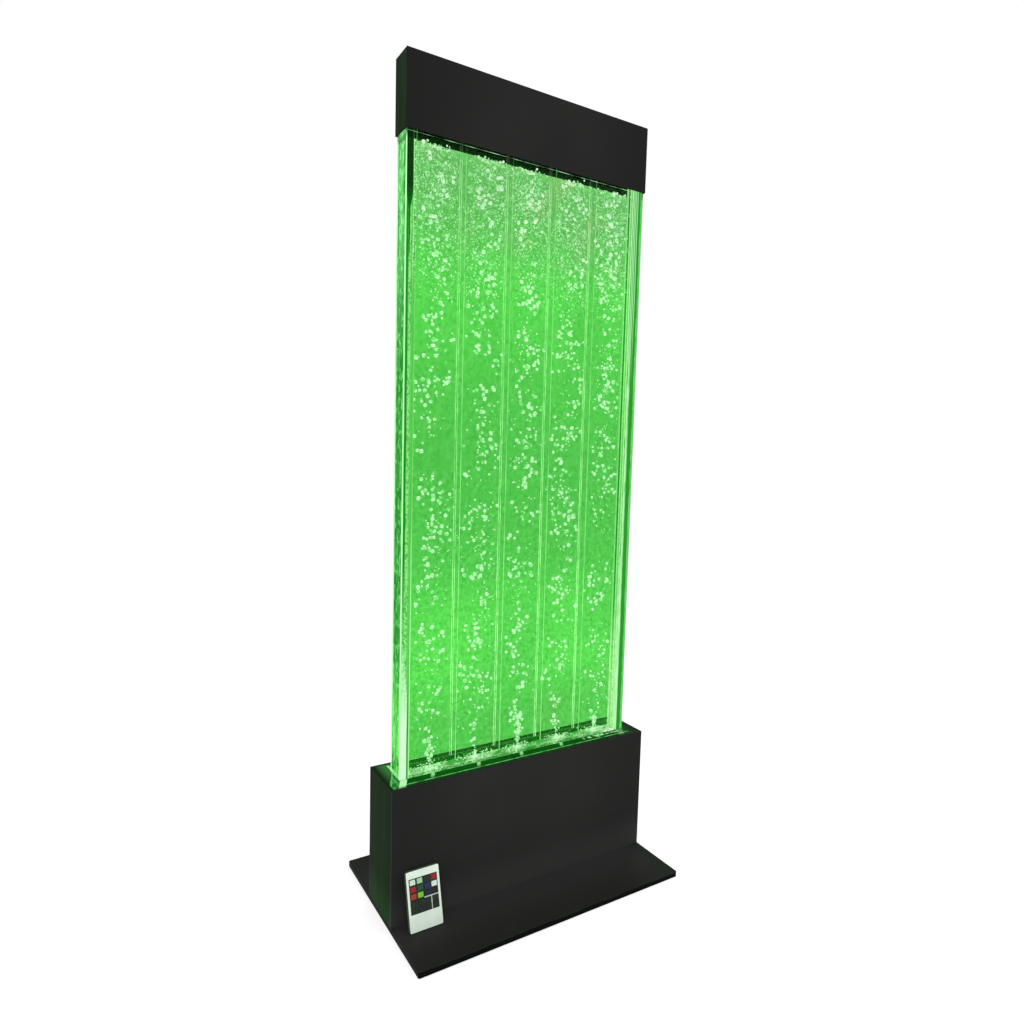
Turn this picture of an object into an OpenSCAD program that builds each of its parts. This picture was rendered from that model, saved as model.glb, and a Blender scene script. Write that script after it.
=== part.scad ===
// Free-standing bubble wall: a thin clear tank of five cells in a black plinth on a base plate,
// with a lift-off cap, an air pump, green lights and a card remote that leans on the plinth.
// Millimetres, +Z up, front at -Y, origin at the bottom centre of the base plate's pads.

/* [Overall] */
// Height from the floor to the top of the cap
total_h = 1200; // [1000:10:1400]
// Width of the tank over its side bars
tank_w = 409; // [380:1:460]
// Distance from each end of the tank to the ends of the plinth and of the base plate
end_room = 21.5; // [19:0.5:40]

/* [Base plate] */
// Front-to-back size of the base plate
plate_d = 282; // [250:1:320]
// Thickness of the base plate
plate_t = 8; // [7:0.5:12]
// Corner radius of the base plate, seen from above
plate_corner_r = 2.5; // [2:0.5:20]
// Thickness of the pads under the base plate
pad_t = 1; // [0.5:0.1:2]
// Diameter of each pad
pad_dia = 24; // [15:1:30]
// Distance from the base plate's edges to the centre of a pad
pad_inset = 22; // [18:1:24]

/* [Plinth] */
// Height of the plinth above the base plate
plinth_h = 199; // [190:1:240]
// Front-to-back size of the plinth
plinth_d = 88; // [86:1:110]
// Thickness of the plinth's front, back and end panels
panel_t = 4; // [3:0.5:5]
// Thickness of the plinth's top panel
top_t = 4; // [3:0.5:8]
// Side of a corner post above the shelf
post_w = 14; // [13:1:16]
// How far the posts stick out under the shelf
post_ledge = 10; // [6:1:14]
// Thickness of the shelf that carries the tank
shelf_t = 6; // [4:0.5:10]
// Depth of the tank's foot below the plinth's top face
socket_h = 42; // [36:1:50]

/* [Tank] */
// Front-to-back size of the tank
tank_d = 34; // [33:0.5:38]
// Thickness of the clear front and back sheets
sheet_t = 4; // [3:0.5:4.5]
// Width of each clear side bar
bar_w = 16; // [10:1:20]
// Number of water cells side by side
cells = 5; // [3:1:6]
// Thickness of each divider
divider_t = 3; // [2:0.5:5]
// Open gap between the tank's floor and the dividers
divider_foot_gap = 8; // [5:1:20]
// Open gap between the dividers and the tank's rim
divider_head_gap = 13; // [5:1:40]
// Thickness of the tank's floor block
floor_t = 20; // [16:1:22]
// How far the floor block stands above the plinth's top face
floor_rise = 2; // [0:0.5:6]

/* [Cap] */
// Height of the cap
cap_h = 100; // [60:5:160]
// Wall of the cap
cap_wall = 2; // [1.5:0.5:4]
// Running gap between the cap and the tank, and between the tank and its slot
tank_gap = 0.3; // [0.2:0.1:1]

/* [Air and light] */
// Outer diameter of the air hoses
hose_dia = 6; // [5.6:0.1:6.4]
// Inner diameter of the air hoses
hose_bore_dia = 4; // [3.6:0.1:4.4]
// Diameter of a nozzle's head
nozzle_dia = 10; // [8:0.5:14]
// Height of a nozzle's head above the tank's floor
nozzle_h = 3; // [2:0.5:6]
// Diameter of the hole that each nozzle blows through
jet_dia = 1.2; // [0.8:0.1:2]
// Outer diameter of the air manifold
manifold_dia = 12; // [11:0.5:14]
// Height of the manifold's centre above the base plate
manifold_z = 119; // [112:1:126]
// Height of the sides of the LED channel
channel_h = 8; // [6:0.5:9]
// Width of one LED strip
strip_w = 6; // [5.5:0.1:6]
// Distance from one LED to the next
led_pitch = 15; // [10:0.5:25]
// Side of one square LED
led_w = 5; // [3:0.5:5]

/* [Pump] */
// Width of the pump's case
pump_w = 110; // [108:1:120]
// Front-to-back size of the pump's case
pump_d = 64; // [62:1:72]
// Height of the pump's case without its lid
pump_h = 48; // [47:1:52]
// Wall of the pump's case
pump_wall = 2; // [1.5:0.5:2.5]
// Thickness of the pump's lid
pump_lid_t = 3; // [2:0.5:4]
// Height of the pump's soft feet
pump_foot_h = 4; // [2:0.5:6]
// Front-to-back size of the magnet on the pump's arm
magnet_w = 10; // [6:1:14]

/* [Back panel] */
// Height of the inlet and of the drain valve above the base plate
port_z = 31; // [26:1:40]
// Distance from a side bar to the centre of the drain
drain_edge = 12.5; // [10:0.5:14]
// Outer diameter of the drain hose
drain_hose_dia = 8; // [7:0.5:8]
// Inner diameter of the drain hose
drain_bore_dia = 5; // [4.5:0.1:5.5]
// Bend radius of the drain hose
drain_bend_r = 20; // [16:1:22]
// Outer diameter of the drain spigot
spigot_dia = 8; // [7:0.5:10]
// Length of the drain spigot
spigot_len = 22; // [16:1:30]
// Length of the drain lever from its stem
lever_len = 30; // [20:1:34]
// Distance from the plinth's end to the low-voltage inlet
inlet_from_end = 56; // [46:1:62]
// Distance from the low-voltage inlet to the switch
switch_from_inlet = 40; // [34:1:46]
// Width of the switch's cut-out
switch_w = 13; // [13:0.5:15]
// Height of the switch's cut-out
switch_h = 19.2; // [19:0.2:22]
// Tilt of the rocker either way
rocker_tilt = 8; // [4:0.5:9]

/* [Remote] */
// Distance from the plinth's end to the remote's centre line
remote_from_end = 43.5; // [31:0.5:76]
// Width of the remote
remote_w = 50; // [49:0.5:56]
// Length of the remote
remote_len = 80; // [79:0.5:90]
// Thickness of the remote
remote_t = 6.5; // [6.5:0.1:8]
// Lean of the remote from upright
remote_lean = 15; // [8:1:25]
// Corner radius of the remote
remote_corner_r = 2; // [1:0.5:5]
// Distance between two columns of keys
key_pitch_x = 10.8; // [10.2:0.1:11]
// Distance between two rows of keys
key_pitch_z = 9.4; // [8.8:0.1:9.6]
// Width of a key
key_w = 8; // [6:0.5:8]
// Height of a key
key_h = 6.8; // [5:0.2:6.8]
// How far a key stands proud of the key panel
key_proud = 0.6; // [0.3:0.1:1]
// Travel of a key
key_travel = 0.6; // [0.3:0.1:0.6]
// Diameter of the coin cell
coin_dia = 20; // [16:0.5:20]
// Thickness of the coin cell
coin_t = 2.5; // [1.6:0.1:2.5]

/* [Hidden] */
$fn = 48;
eps = 0.01;
fit_gap = 0.03;
seat_gap = 0.05;
clear_gap = 0.25;
base_w = tank_w + 2 * end_room;
plate_top = pad_t + plate_t;
plinth_top = plate_top + plinth_h;
shelf_top = plinth_top - socket_h;
shelf_z = shelf_top - shelf_t;
inner_w = base_w - 2 * panel_t;
inner_d = plinth_d - 2 * panel_t;
post_top = plinth_top - top_t;
post_screw_inset = post_w / 2;
plate_screw_dia = 4;
plate_screw_len = 20;
plate_screw_head_dia = 8;
plate_screw_head_h = 2.1;
tank_top = total_h - cap_wall;
tank_h = tank_top - shelf_top;
tank_inner_w = tank_w - 2 * bar_w;
tank_inner_d = tank_d - 2 * sheet_t;
cell_pitch = (tank_inner_w + divider_t) / cells;
floor_top = plinth_top + floor_rise;
floor_z = floor_top - floor_t;
divider_z = floor_top + divider_foot_gap;
divider_h = tank_top - divider_head_gap - divider_z;
hose_r = hose_dia / 2;
hose_bore_r = hose_bore_dia / 2;
barb_r = hose_bore_r - fit_gap;
air_bore_r = 1.1;
nozzle_stem_r = 3;
nozzle_nut_h = 3;
nozzle_nut_af = 11;
barb_len = 10;
manifold_r = manifold_dia / 2;
manifold_cz = plate_top + manifold_z;
manifold_end = (cells - 1) / 2 * cell_pitch + 12;
manifold_lug_w = 8;
manifold_lug_x = manifold_end - 50;
channel_base_t = 2;
channel_side_t = 1.5;
channel_w = tank_inner_d - 1;
channel_len = tank_inner_w - 4;
strip_t = 1.2;
strip_y = channel_w / 2 - channel_side_t - strip_w / 2 - 0.1;
led_t = 1.6;
led_count = floor((channel_len - 20) / led_pitch);
pump_z = plate_top + pump_foot_h;
pump_lid_z = pump_z + pump_h;
pump_axis_z = pump_z + 20;
outlet_x = 21;
riser_top = manifold_cz - manifold_r - 6;
core_x = -50;
core_yoke_w = 8;
core_leg_len = 24;
core_leg_w = 8;
core_side_leg_w = 5;
core_h = 20;
core_y = 12;
core_window_w = 6;
winding_h = 32;
winding_gap = 0.2;
arm_x = -8;
arm_y = -22;
arm_t = 3;
arm_h = 12;
arm_pin_r = 1.5;
arm_hub_r = 3.5;
magnet_t = 5;
bellows_x = arm_x + arm_t / 2 + 0.3;
bellows_r = 9;
bellows_len = 14;
bellows_y = -2;
chamber_x = bellows_x + bellows_len;
chamber_w = 22;
chamber_d = 30;
chamber_h = 28;
port_cz = plate_top + port_z;
back_y = plinth_d / 2;
drain_x = tank_w / 2 - bar_w - drain_edge;
drain_hose_r = drain_hose_dia / 2;
drain_bore_r = drain_bore_dia / 2;
drain_barb_r = drain_bore_r - fit_gap;
valve_bore_r = 2;
valve_thread_r = 7;
valve_flange_r = 10;
valve_flange_t = 3;
valve_nut_af = 20;
valve_nut_t = 4;
valve_r = 9;
valve_len = 22;
valve_barb_len = 13;
ball_r = 5.95;
ball_gap = 0.05;
ball_y = back_y + valve_nut_t + valve_len / 2;
stem_r = 2;
stem_boss_r = 4.5;
stem_boss_h = 4;
lever_t = 3;
lever_w = 7;
inlet_x = base_w / 2 - inlet_from_end;
switch_x = inlet_x - switch_from_inlet;
inlet_r = 4;
inlet_flange_r = 5.5;
inlet_flange_t = 2;
inlet_bore_r = 2.85;
inlet_bore_len = 9;
inlet_pin_r = 1;
inlet_body_r = 5;
inlet_body_len = 14;
bezel_rim = 1.5;
bezel_t = 2;
switch_depth = 15;
switch_wall = 1.2;
rocker_w = switch_w - 2 * switch_wall - 0.6;
rocker_half = switch_h / 2 - 1.6;
rocker_edge_y = 3;
rocker_ridge_y = 4.5;
rocker_pin_r = 1.2;
rocker_pivot_y = back_y - 1;
board_from_end = 71;
board_x = base_w / 2 - board_from_end;
board_y = -5;
board_w = 76;
board_d = 50;
board_t = 1.6;
board_z = plate_top + 10;
spacer_r = 3;
lead_r = 1.25;
led_lead_x = channel_len / 2 - 5;
case_wall = 1.4;
case_skin = 1.2;
case_split = remote_t - 2.3;
panel_recess = 0.8;
key_cols = 4;
key_rows = 5;
panel_w = key_cols * key_pitch_x;
panel_h = key_rows * key_pitch_z;
panel_ledge = 0.6;
panel_top_gap = 10;
panel_cz = remote_len - panel_top_gap - panel_h / 2;
key_flange = 0.4;
key_flange_t = 0.8;
key_flange_w = remote_t - panel_recess - 0.2;
key_stem_side = 4;
pcb_t = 1;
pcb_front = key_flange_w - key_flange_t - key_travel - 1;
pcb_gap = 0.5;
tray_rim = 0.7;
tray_len = coin_dia + 2 * tray_rim;
tray_key_gap = 0.5;
key_foot_z = panel_cz - (key_rows - 1) / 2 * key_pitch_z - key_h / 2 - key_flange;
tray_z0 = key_foot_z - tray_key_gap - tray_len;
tray_end_x = -coin_dia / 2 - 2;
tray_floor = 0.6;
tray_t = coin_t + tray_floor + 0.1;
tray_w0 = case_skin + 0.1;
pcb_z0 = tray_z0 + tray_len + 1.5;
pcb_z1 = remote_len - case_wall - 1.1;
ir_led_r = 1.5;
ir_led_w = pcb_front + 0.2;
remote_x = base_w / 2 - remote_from_end;
remote_foot_y = -back_y - seat_gap - remote_len * sin(remote_lean);

// A flat rectangle with round corners, centred
module rounded_rect(w, d, r) {
    square([w - 2 * r, d], center = true);
    square([w, d - 2 * r], center = true);
    for (x = [-1, 1], y = [-1, 1])
        translate([x * (w / 2 - r), y * (d / 2 - r)]) circle(r);
}

// A block centred in X and Y that stands on z0
module block(w, d, h, z0) {
    translate([-w / 2, -d / 2, z0]) cube([w, d, h]);
}

// Puts its children at the four corners of a w by d rectangle
module four_corners(w, d) {
    for (x = [-1, 1], y = [-1, 1]) translate([x * w / 2, y * d / 2, 0]) children();
}

// Puts its children at the middle of every water cell
module each_cell() {
    for (i = [0 : cells - 1]) translate([(i - (cells - 1) / 2) * cell_pitch, 0, 0]) children();
}

// A cylinder along +Y from y0, at x and z
module rod_y(r, len, x, y0, z) {
    translate([x, y0, z]) rotate([-90, 0, 0]) cylinder(r = r, h = len);
}

// A round lead that follows a list of points
module lead(points, r) {
    for (i = [0 : len(points) - 2]) {
        step = points[i + 1] - points[i];
        translate(points[i])
            rotate([0, acos(step.z / norm(step)), atan2(step.y, step.x)])
                cylinder(r = r, h = norm(step), $fn = 16);
    }
    for (i = [1 : 1 : len(points) - 2]) translate(points[i]) sphere(r, $fn = 16);
}

module base_plate() color([0.10, 0.12, 0.11]) difference() {
    translate([0, 0, pad_t]) linear_extrude(plate_t) rounded_rect(base_w, plate_d, plate_corner_r);
    four_corners(inner_w - 2 * post_screw_inset, inner_d - 2 * post_screw_inset)
        translate([0, 0, pad_t]) {
            cylinder(r = plate_screw_dia / 2 + clear_gap, h = plate_t + eps);
            translate([0, 0, -eps])
                cylinder(r1 = plate_screw_head_dia / 2 + clear_gap,
                         r2 = plate_screw_dia / 2 + clear_gap,
                         h = plate_screw_head_h + clear_gap);
        }
}

module base_pads() color([0.05, 0.05, 0.05])
    four_corners(base_w - 2 * pad_inset, plate_d - 2 * pad_inset)
        cylinder(d = pad_dia, h = pad_t);

module base_screws() color([0.6, 0.6, 0.62])
    four_corners(inner_w - 2 * post_screw_inset, inner_d - 2 * post_screw_inset)
        translate([0, 0, pad_t + clear_gap / 2]) difference() {
            union() {
                cylinder(r1 = plate_screw_head_dia / 2, r2 = plate_screw_dia / 2,
                         h = plate_screw_head_h);
                cylinder(d = plate_screw_dia, h = plate_screw_len);
            }
            translate([0, 0, -eps]) cylinder(d = 2.8, h = 1.6, $fn = 6);
        }

module corner_posts() color([0.7, 0.7, 0.72])
    for (x = [0, 1], y = [0, 1]) mirror([x, 0, 0]) mirror([0, y, 0])
        difference() {
            union() {
                translate([inner_w / 2 - post_w, inner_d / 2 - post_w, plate_top])
                    cube([post_w, post_w, post_top - plate_top]);
                translate([inner_w / 2 - post_w - post_ledge, inner_d / 2 - post_w, plate_top])
                    cube([post_ledge + eps, post_w, shelf_z - plate_top]);
            }
            translate([inner_w / 2 - post_screw_inset, inner_d / 2 - post_screw_inset,
                       plate_top - eps])
                cylinder(r = plate_screw_dia / 2 + fit_gap, h = plate_screw_len - plate_t + 2);
        }

module plinth_front() color([0.13, 0.13, 0.13])
    translate([-base_w / 2, -back_y, plate_top]) cube([base_w, panel_t, plinth_h]);

module plinth_back() color([0.13, 0.13, 0.13]) difference() {
    translate([-base_w / 2, back_y - panel_t, plate_top]) cube([base_w, panel_t, plinth_h]);
    rod_y(valve_thread_r + clear_gap, panel_t + 2, drain_x, back_y - panel_t - 1, port_cz);
    rod_y(inlet_r + clear_gap, panel_t + 2, -inlet_x, back_y - panel_t - 1, port_cz);
    translate([-switch_x, back_y - panel_t / 2, port_cz])
        cube([switch_w + 2 * clear_gap, panel_t + 2, switch_h + 2 * clear_gap], center = true);
}

module plinth_ends() color([0.15, 0.2, 0.16])
    for (x = [-base_w / 2, base_w / 2 - panel_t])
        translate([x, -inner_d / 2, plate_top]) cube([panel_t, inner_d, plinth_h]);

module plinth_top() color([0.06, 0.07, 0.06]) difference() {
    block(inner_w, inner_d, top_t, post_top);
    block(tank_w + 2 * tank_gap, tank_d + 2 * tank_gap, top_t + 2, post_top - 1);
}

module tank_shelf() color([0.3, 0.3, 0.3]) difference() {
    block(inner_w, inner_d, shelf_t, shelf_z);
    four_corners(inner_w - post_w, inner_d - post_w)
        block(post_w + 2 * clear_gap, post_w + 2 * clear_gap, shelf_t + 2, shelf_z - 1);
    each_cell() translate([0, 0, shelf_z - 1]) cylinder(r = hose_r + 1, h = shelf_t + 2);
    translate([drain_x, 0, shelf_z - 1]) cylinder(r = drain_hose_r + 1, h = shelf_t + 2);
    translate([-led_lead_x, 0, shelf_z - 1]) cylinder(r = lead_r + 1, h = shelf_t + 2);
}

module tank_sheet(y0) {
    translate([-tank_w / 2, y0, shelf_top]) cube([tank_w, sheet_t, tank_h]);
}

module tank_front_sheet() color([0.5, 0.95, 0.5, 0.35]) tank_sheet(-tank_d / 2);

module tank_back_sheet() color([0.5, 0.95, 0.5, 0.35]) tank_sheet(tank_d / 2 - sheet_t);

module tank_side_bars() color([0.8, 1, 0.8, 0.6])
    for (x = [-tank_w / 2, tank_w / 2 - bar_w])
        translate([x, -tank_inner_d / 2, shelf_top]) cube([bar_w, tank_inner_d, tank_h]);

module tank_dividers() color([0.8, 1, 0.8, 0.5])
    for (i = [1 : cells - 1])
        translate([(i - cells / 2) * cell_pitch, 0, 0])
            block(divider_t, tank_inner_d, divider_h, divider_z);

module tank_floor() color([0.8, 1, 0.8, 0.7]) difference() {
    block(tank_inner_w, tank_inner_d, floor_t, floor_z);
    each_cell() translate([0, 0, floor_z - 1]) cylinder(r = nozzle_stem_r + fit_gap, h = floor_t + 2);
    translate([drain_x, 0, floor_z - 1]) cylinder(r = drain_hose_r + fit_gap, h = floor_t + 2);
}

module air_nozzles() color([0.9, 0.95, 0.9]) each_cell() difference() {
    union() {
        translate([0, 0, floor_top]) cylinder(d = nozzle_dia, h = nozzle_h - 1);
        translate([0, 0, floor_top + nozzle_h - 1])
            cylinder(d1 = nozzle_dia, d2 = nozzle_dia - 2, h = 1);
        translate([0, 0, floor_z - nozzle_nut_h]) cylinder(r = nozzle_stem_r, h = floor_t + nozzle_nut_h);
        translate([0, 0, floor_z - nozzle_nut_h])
            cylinder(d = nozzle_nut_af / cos(30), h = nozzle_nut_h, $fn = 6);
        translate([0, 0, floor_z - nozzle_nut_h - barb_len]) cylinder(r = barb_r, h = barb_len + eps);
    }
    translate([0, 0, floor_z - nozzle_nut_h - barb_len - 1])
        cylinder(r = air_bore_r, h = floor_t + nozzle_nut_h + barb_len - 2);
    translate([0, 0, floor_z]) cylinder(d = jet_dia, h = floor_t + nozzle_h + 1);
}

module led_channel() color([0.75, 0.75, 0.77]) difference() {
    block(channel_len, channel_w, channel_h, shelf_top);
    block(channel_len + 2, channel_w - 2 * channel_side_t, channel_h, shelf_top + channel_base_t);
    each_cell() translate([0, 0, shelf_top - 1]) cylinder(r = hose_r + 0.5, h = channel_h);
    translate([drain_x, 0, shelf_top - 1]) cylinder(r = drain_hose_r + 0.5, h = channel_h);
    translate([-led_lead_x, 0, shelf_top - 1]) cylinder(r = lead_r + 0.5, h = channel_h);
}

module led_strips() color([0.9, 0.95, 0.9])
    for (y = [-strip_y, strip_y]) translate([0, y, 0]) {
        block(channel_len, strip_w, strip_t, shelf_top + channel_base_t);
        for (i = [0 : led_count - 1])
            translate([(i - (led_count - 1) / 2) * led_pitch, 0, 0])
                block(led_w, led_w, led_t + eps, shelf_top + channel_base_t + strip_t - eps);
    }

module air_manifold() color([0.85, 0.87, 0.85]) difference() {
    union() {
        translate([-manifold_end, 0, manifold_cz]) rotate([0, 90, 0])
            cylinder(r = manifold_r, h = 2 * manifold_end);
        each_cell() translate([0, 0, manifold_cz])
            cylinder(r = barb_r, h = manifold_r + barb_len);
        translate([outlet_x, 0, riser_top]) cylinder(r = manifold_r - 1, h = manifold_cz - riser_top);
        translate([outlet_x, 0, riser_top - barb_len]) cylinder(r = barb_r, h = barb_len + eps);
        for (x = [-1, 1]) translate([x * manifold_lug_x, 0, 0])
            block(manifold_lug_w, manifold_dia, shelf_z - manifold_cz, manifold_cz);
    }
    translate([-manifold_end + 3, 0, manifold_cz]) rotate([0, 90, 0])
        cylinder(r = manifold_r - 1.8, h = 2 * manifold_end - 6);
    each_cell() translate([0, 0, manifold_cz]) cylinder(r = air_bore_r, h = manifold_r + barb_len + 1);
    translate([outlet_x, 0, riser_top - barb_len - 1])
        cylinder(r = air_bore_r, h = manifold_cz - riser_top + barb_len + 1);
}

// A straight piece of air hose from z0 to z1
module hose(z0, z1) {
    translate([0, 0, z0]) difference() {
        cylinder(r = hose_r, h = z1 - z0);
        translate([0, 0, -1]) cylinder(r = hose_bore_r, h = z1 - z0 + 2);
    }
}

module air_hoses() color([0.85, 0.95, 0.88]) {
    each_cell() hose(manifold_cz + manifold_r + 1, floor_z - nozzle_nut_h - seat_gap);
    translate([outlet_x, 0, 0]) hose(pump_lid_z + pump_lid_t + 1, riser_top - seat_gap);
}

module pump_case() color([0.15, 0.15, 0.16]) {
    difference() {
        block(pump_w, pump_d, pump_h, pump_z);
        block(pump_w - 2 * pump_wall, pump_d - 2 * pump_wall, pump_h, pump_z + pump_wall);
    }
    four_corners(pump_w - 20, pump_d - 20)
        translate([0, 0, plate_top]) cylinder(r = 6, h = pump_foot_h + eps);
    core_seat_h = pump_axis_z - core_h / 2 - pump_z - pump_wall;
    translate([core_x, core_y, 0])
        for (seat = [[0, core_yoke_w, -core_span() / 2, core_span()],
                     [core_yoke_w + core_leg_len - 6, 6, -core_span() / 2, core_side_leg_w],
                     [core_yoke_w + core_leg_len - 6, 6, core_span() / 2 - core_side_leg_w,
                      core_side_leg_w]])
            translate([seat[0], seat[2], pump_z + pump_wall - eps])
                cube([seat[1], seat[3], core_seat_h + eps]);
    translate([arm_x, arm_y, pump_z + pump_wall - eps]) {
        cylinder(r = arm_pin_r, h = pump_h - pump_wall - 3);
        cylinder(r = arm_hub_r, h = pump_axis_z - arm_h / 2 - pump_z - pump_wall - 0.3);
    }
    chamber_seat_h = pump_axis_z - chamber_h / 2 - pump_z - pump_wall;
    translate([chamber_x + 1, -chamber_d / 2 + 1, pump_z + pump_wall - eps])
        cube([chamber_w - 2, chamber_d - 2, chamber_seat_h + eps]);
}

module pump_lid() color([0.12, 0.12, 0.13]) difference() {
    union() {
        block(pump_w, pump_d, pump_lid_t, pump_lid_z);
        difference() {
            block(pump_w - 2 * pump_wall - 2 * clear_gap, pump_d - 2 * pump_wall - 2 * clear_gap,
                  2 + eps, pump_lid_z - 2);
            block(pump_w - 4 * pump_wall, pump_d - 4 * pump_wall, 4, pump_lid_z - 3);
        }
    }
    translate([outlet_x, 0, pump_lid_z - 3]) cylinder(r = barb_r + 0.6, h = pump_lid_t + 4);
}

// Overall width of the coil's core across its three legs
function core_span() = core_leg_w + 2 * core_window_w + 2 * core_side_leg_w;

module pump_coil() translate([core_x, core_y, pump_axis_z]) {
    color([0.45, 0.45, 0.48]) {
        translate([0, -core_span() / 2, -core_h / 2]) cube([core_yoke_w, core_span(), core_h]);
        translate([0, -core_leg_w / 2, -core_h / 2])
            cube([core_yoke_w + core_leg_len, core_leg_w, core_h]);
        for (y = [-core_span() / 2, core_span() / 2 - core_side_leg_w])
            translate([0, y, -core_h / 2])
                cube([core_yoke_w + core_leg_len, core_side_leg_w, core_h]);
    }
    color([0.72, 0.42, 0.2]) difference() {
        translate([core_yoke_w + winding_gap, -core_leg_w / 2 - core_window_w + winding_gap,
                   -winding_h / 2])
            cube([core_leg_len - 3, core_leg_w + 2 * core_window_w - 2 * winding_gap, winding_h]);
        translate([core_yoke_w - 1, -core_leg_w / 2 - winding_gap, -core_h / 2 - winding_gap])
            cube([core_leg_len + 2, core_leg_w + 2 * winding_gap, core_h + 2 * winding_gap]);
    }
}

module pump_chamber() color([0.8, 0.82, 0.8]) difference() {
    union() {
        translate([chamber_x, -chamber_d / 2, pump_axis_z - chamber_h / 2])
            cube([chamber_w, chamber_d, chamber_h]);
        translate([outlet_x, 0, pump_axis_z])
            cylinder(r = barb_r, h = pump_lid_z + pump_lid_t + barb_len - pump_axis_z);
    }
    translate([outlet_x, 0, pump_axis_z])
        cylinder(r = air_bore_r, h = pump_lid_z + pump_lid_t + barb_len - pump_axis_z + 1);
}

module pump_bellows() color([0.1, 0.1, 0.1]) difference() {
    translate([bellows_x, bellows_y, pump_axis_z]) rotate([0, 90, 0]) {
        cylinder(r = bellows_r - 3, h = bellows_len);
        for (x = [2, 6, 10]) translate([0, 0, x]) {
            cylinder(r1 = bellows_r - 3, r2 = bellows_r, h = 1.5);
            translate([0, 0, 1.5]) cylinder(r1 = bellows_r, r2 = bellows_r - 3, h = 1.5);
        }
        translate([0, 0, bellows_len - 1]) cylinder(r = bellows_r + 1, h = 1);
    }
    translate([bellows_x + 2, bellows_y, pump_axis_z]) rotate([0, 90, 0])
        cylinder(r = bellows_r - 4.5, h = bellows_len);
}

module pump_arm() translate([arm_x, arm_y, pump_axis_z]) {
    color([0.5, 0.5, 0.52]) difference() {
        union() {
            translate([0, 0, -arm_h / 2]) cylinder(r = arm_hub_r, h = arm_h);
            translate([-arm_t / 2, 0, -arm_h / 2]) cube([arm_t, core_y - arm_y + 8, arm_h]);
        }
        translate([0, 0, -arm_h]) cylinder(r = arm_pin_r + seat_gap, h = 2 * arm_h);
    }
    color([0.3, 0.3, 0.32])
        translate([-arm_t / 2 - magnet_t, core_y - arm_y - magnet_w / 2, -arm_h / 2])
            cube([magnet_t, magnet_w, arm_h]);
}

module control_board() translate([-board_x, board_y, board_z]) {
    color([0.05, 0.3, 0.15]) block(board_w, board_d, board_t, 0);
    color([0.9, 0.9, 0.88]) four_corners(board_w - 8, board_d - 8)
        translate([0, 0, plate_top - board_z]) cylinder(r = spacer_r, h = board_z - plate_top);
    color([0.1, 0.1, 0.1]) translate([0, 0, board_t]) {
        translate([-14, 4, 0]) cube([20, 8, 3]);
        translate([12, -14, 0]) cube([10, 10, 6]);
        translate([-20, -10, 0]) cylinder(r = 5, h = 14);
        translate([-8, -10, 0]) cylinder(r = 5, h = 14);
        translate([-3.5, -board_d / 2, 0]) cube([7, 5, 8]);
        translate([0, -board_d / 2, 5]) sphere(2.5);
    }
}

module wiring() color([0.12, 0.12, 0.12]) {
    board_top = board_z + board_t;
    bus_y = back_y - panel_t - inlet_body_len - 8;
    switch_back = back_y - switch_depth;
    lead([[-inlet_x, back_y - panel_t - inlet_body_len, port_cz], [-inlet_x, bus_y, port_cz],
          [-switch_x - 4, bus_y, port_cz], [-switch_x - 4, switch_back, port_cz]], lead_r);
    lead([[-switch_x + 3, switch_back, port_cz], [-switch_x + 3, bus_y, port_cz],
          [-switch_x + 3, bus_y, board_top]], lead_r);
    lead([[-led_lead_x, 0, board_top], [-led_lead_x, 0, shelf_top + channel_base_t + strip_t / 2]],
         lead_r);
    translate([-led_lead_x, 0, shelf_top + channel_base_t]) block(1.2, 2 * strip_y - strip_w, strip_t, 0);
    lead([[-board_x + board_w / 2 - 4, -10, board_top], [-board_x + board_w / 2 - 4, -10, pump_axis_z],
          [-pump_w / 2, -10, pump_axis_z]], lead_r);
}

module dc_inlet() color([0.12, 0.12, 0.12]) difference() {
    union() {
        rod_y(inlet_flange_r, inlet_flange_t, -inlet_x, back_y, port_cz);
        rod_y(inlet_r, panel_t + eps, -inlet_x, back_y - panel_t, port_cz);
        rod_y(inlet_body_r, inlet_body_len, -inlet_x, back_y - panel_t - inlet_body_len, port_cz);
    }
    difference() {
        rod_y(inlet_bore_r, inlet_bore_len + 1, -inlet_x,
              back_y + inlet_flange_t - inlet_bore_len, port_cz);
        rod_y(inlet_pin_r, inlet_bore_len - 1, -inlet_x,
              back_y + inlet_flange_t - inlet_bore_len - eps, port_cz);
    }
}

module switch_housing() color([0.1, 0.1, 0.1]) difference() {
    union() {
        translate([-switch_x, back_y - switch_depth / 2, port_cz])
            cube([switch_w, switch_depth, switch_h], center = true);
        translate([-switch_x, back_y + bezel_t / 2, port_cz])
            cube([switch_w + 2 * bezel_rim, bezel_t, switch_h + 2 * bezel_rim], center = true);
    }
    translate([-switch_x, rocker_pivot_y, port_cz])
        cube([switch_w - 2 * switch_wall, 13, switch_h - 2], center = true);
    translate([-switch_x - switch_w, rocker_pivot_y, port_cz]) rotate([0, 90, 0])
        cylinder(r = rocker_pin_r + seat_gap, h = 2 * switch_w);
}

module switch_rocker() color([0.13, 0.13, 0.13])
    translate([-switch_x, rocker_pivot_y, port_cz]) rotate([rocker_tilt, 0, 0]) {
        translate([-rocker_w / 2, 0, 0]) rotate([90, 0, 90]) linear_extrude(rocker_w)
            polygon([[rocker_edge_y, -rocker_half], [rocker_ridge_y, 0], [rocker_edge_y, rocker_half],
                     [-1.5, rocker_half], [-3, 0], [-1.5, -rocker_half]]);
        translate([-switch_w / 2 + 0.2, 0, 0]) rotate([0, 90, 0])
            cylinder(r = rocker_pin_r, h = switch_w - 0.4);
    }

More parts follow.
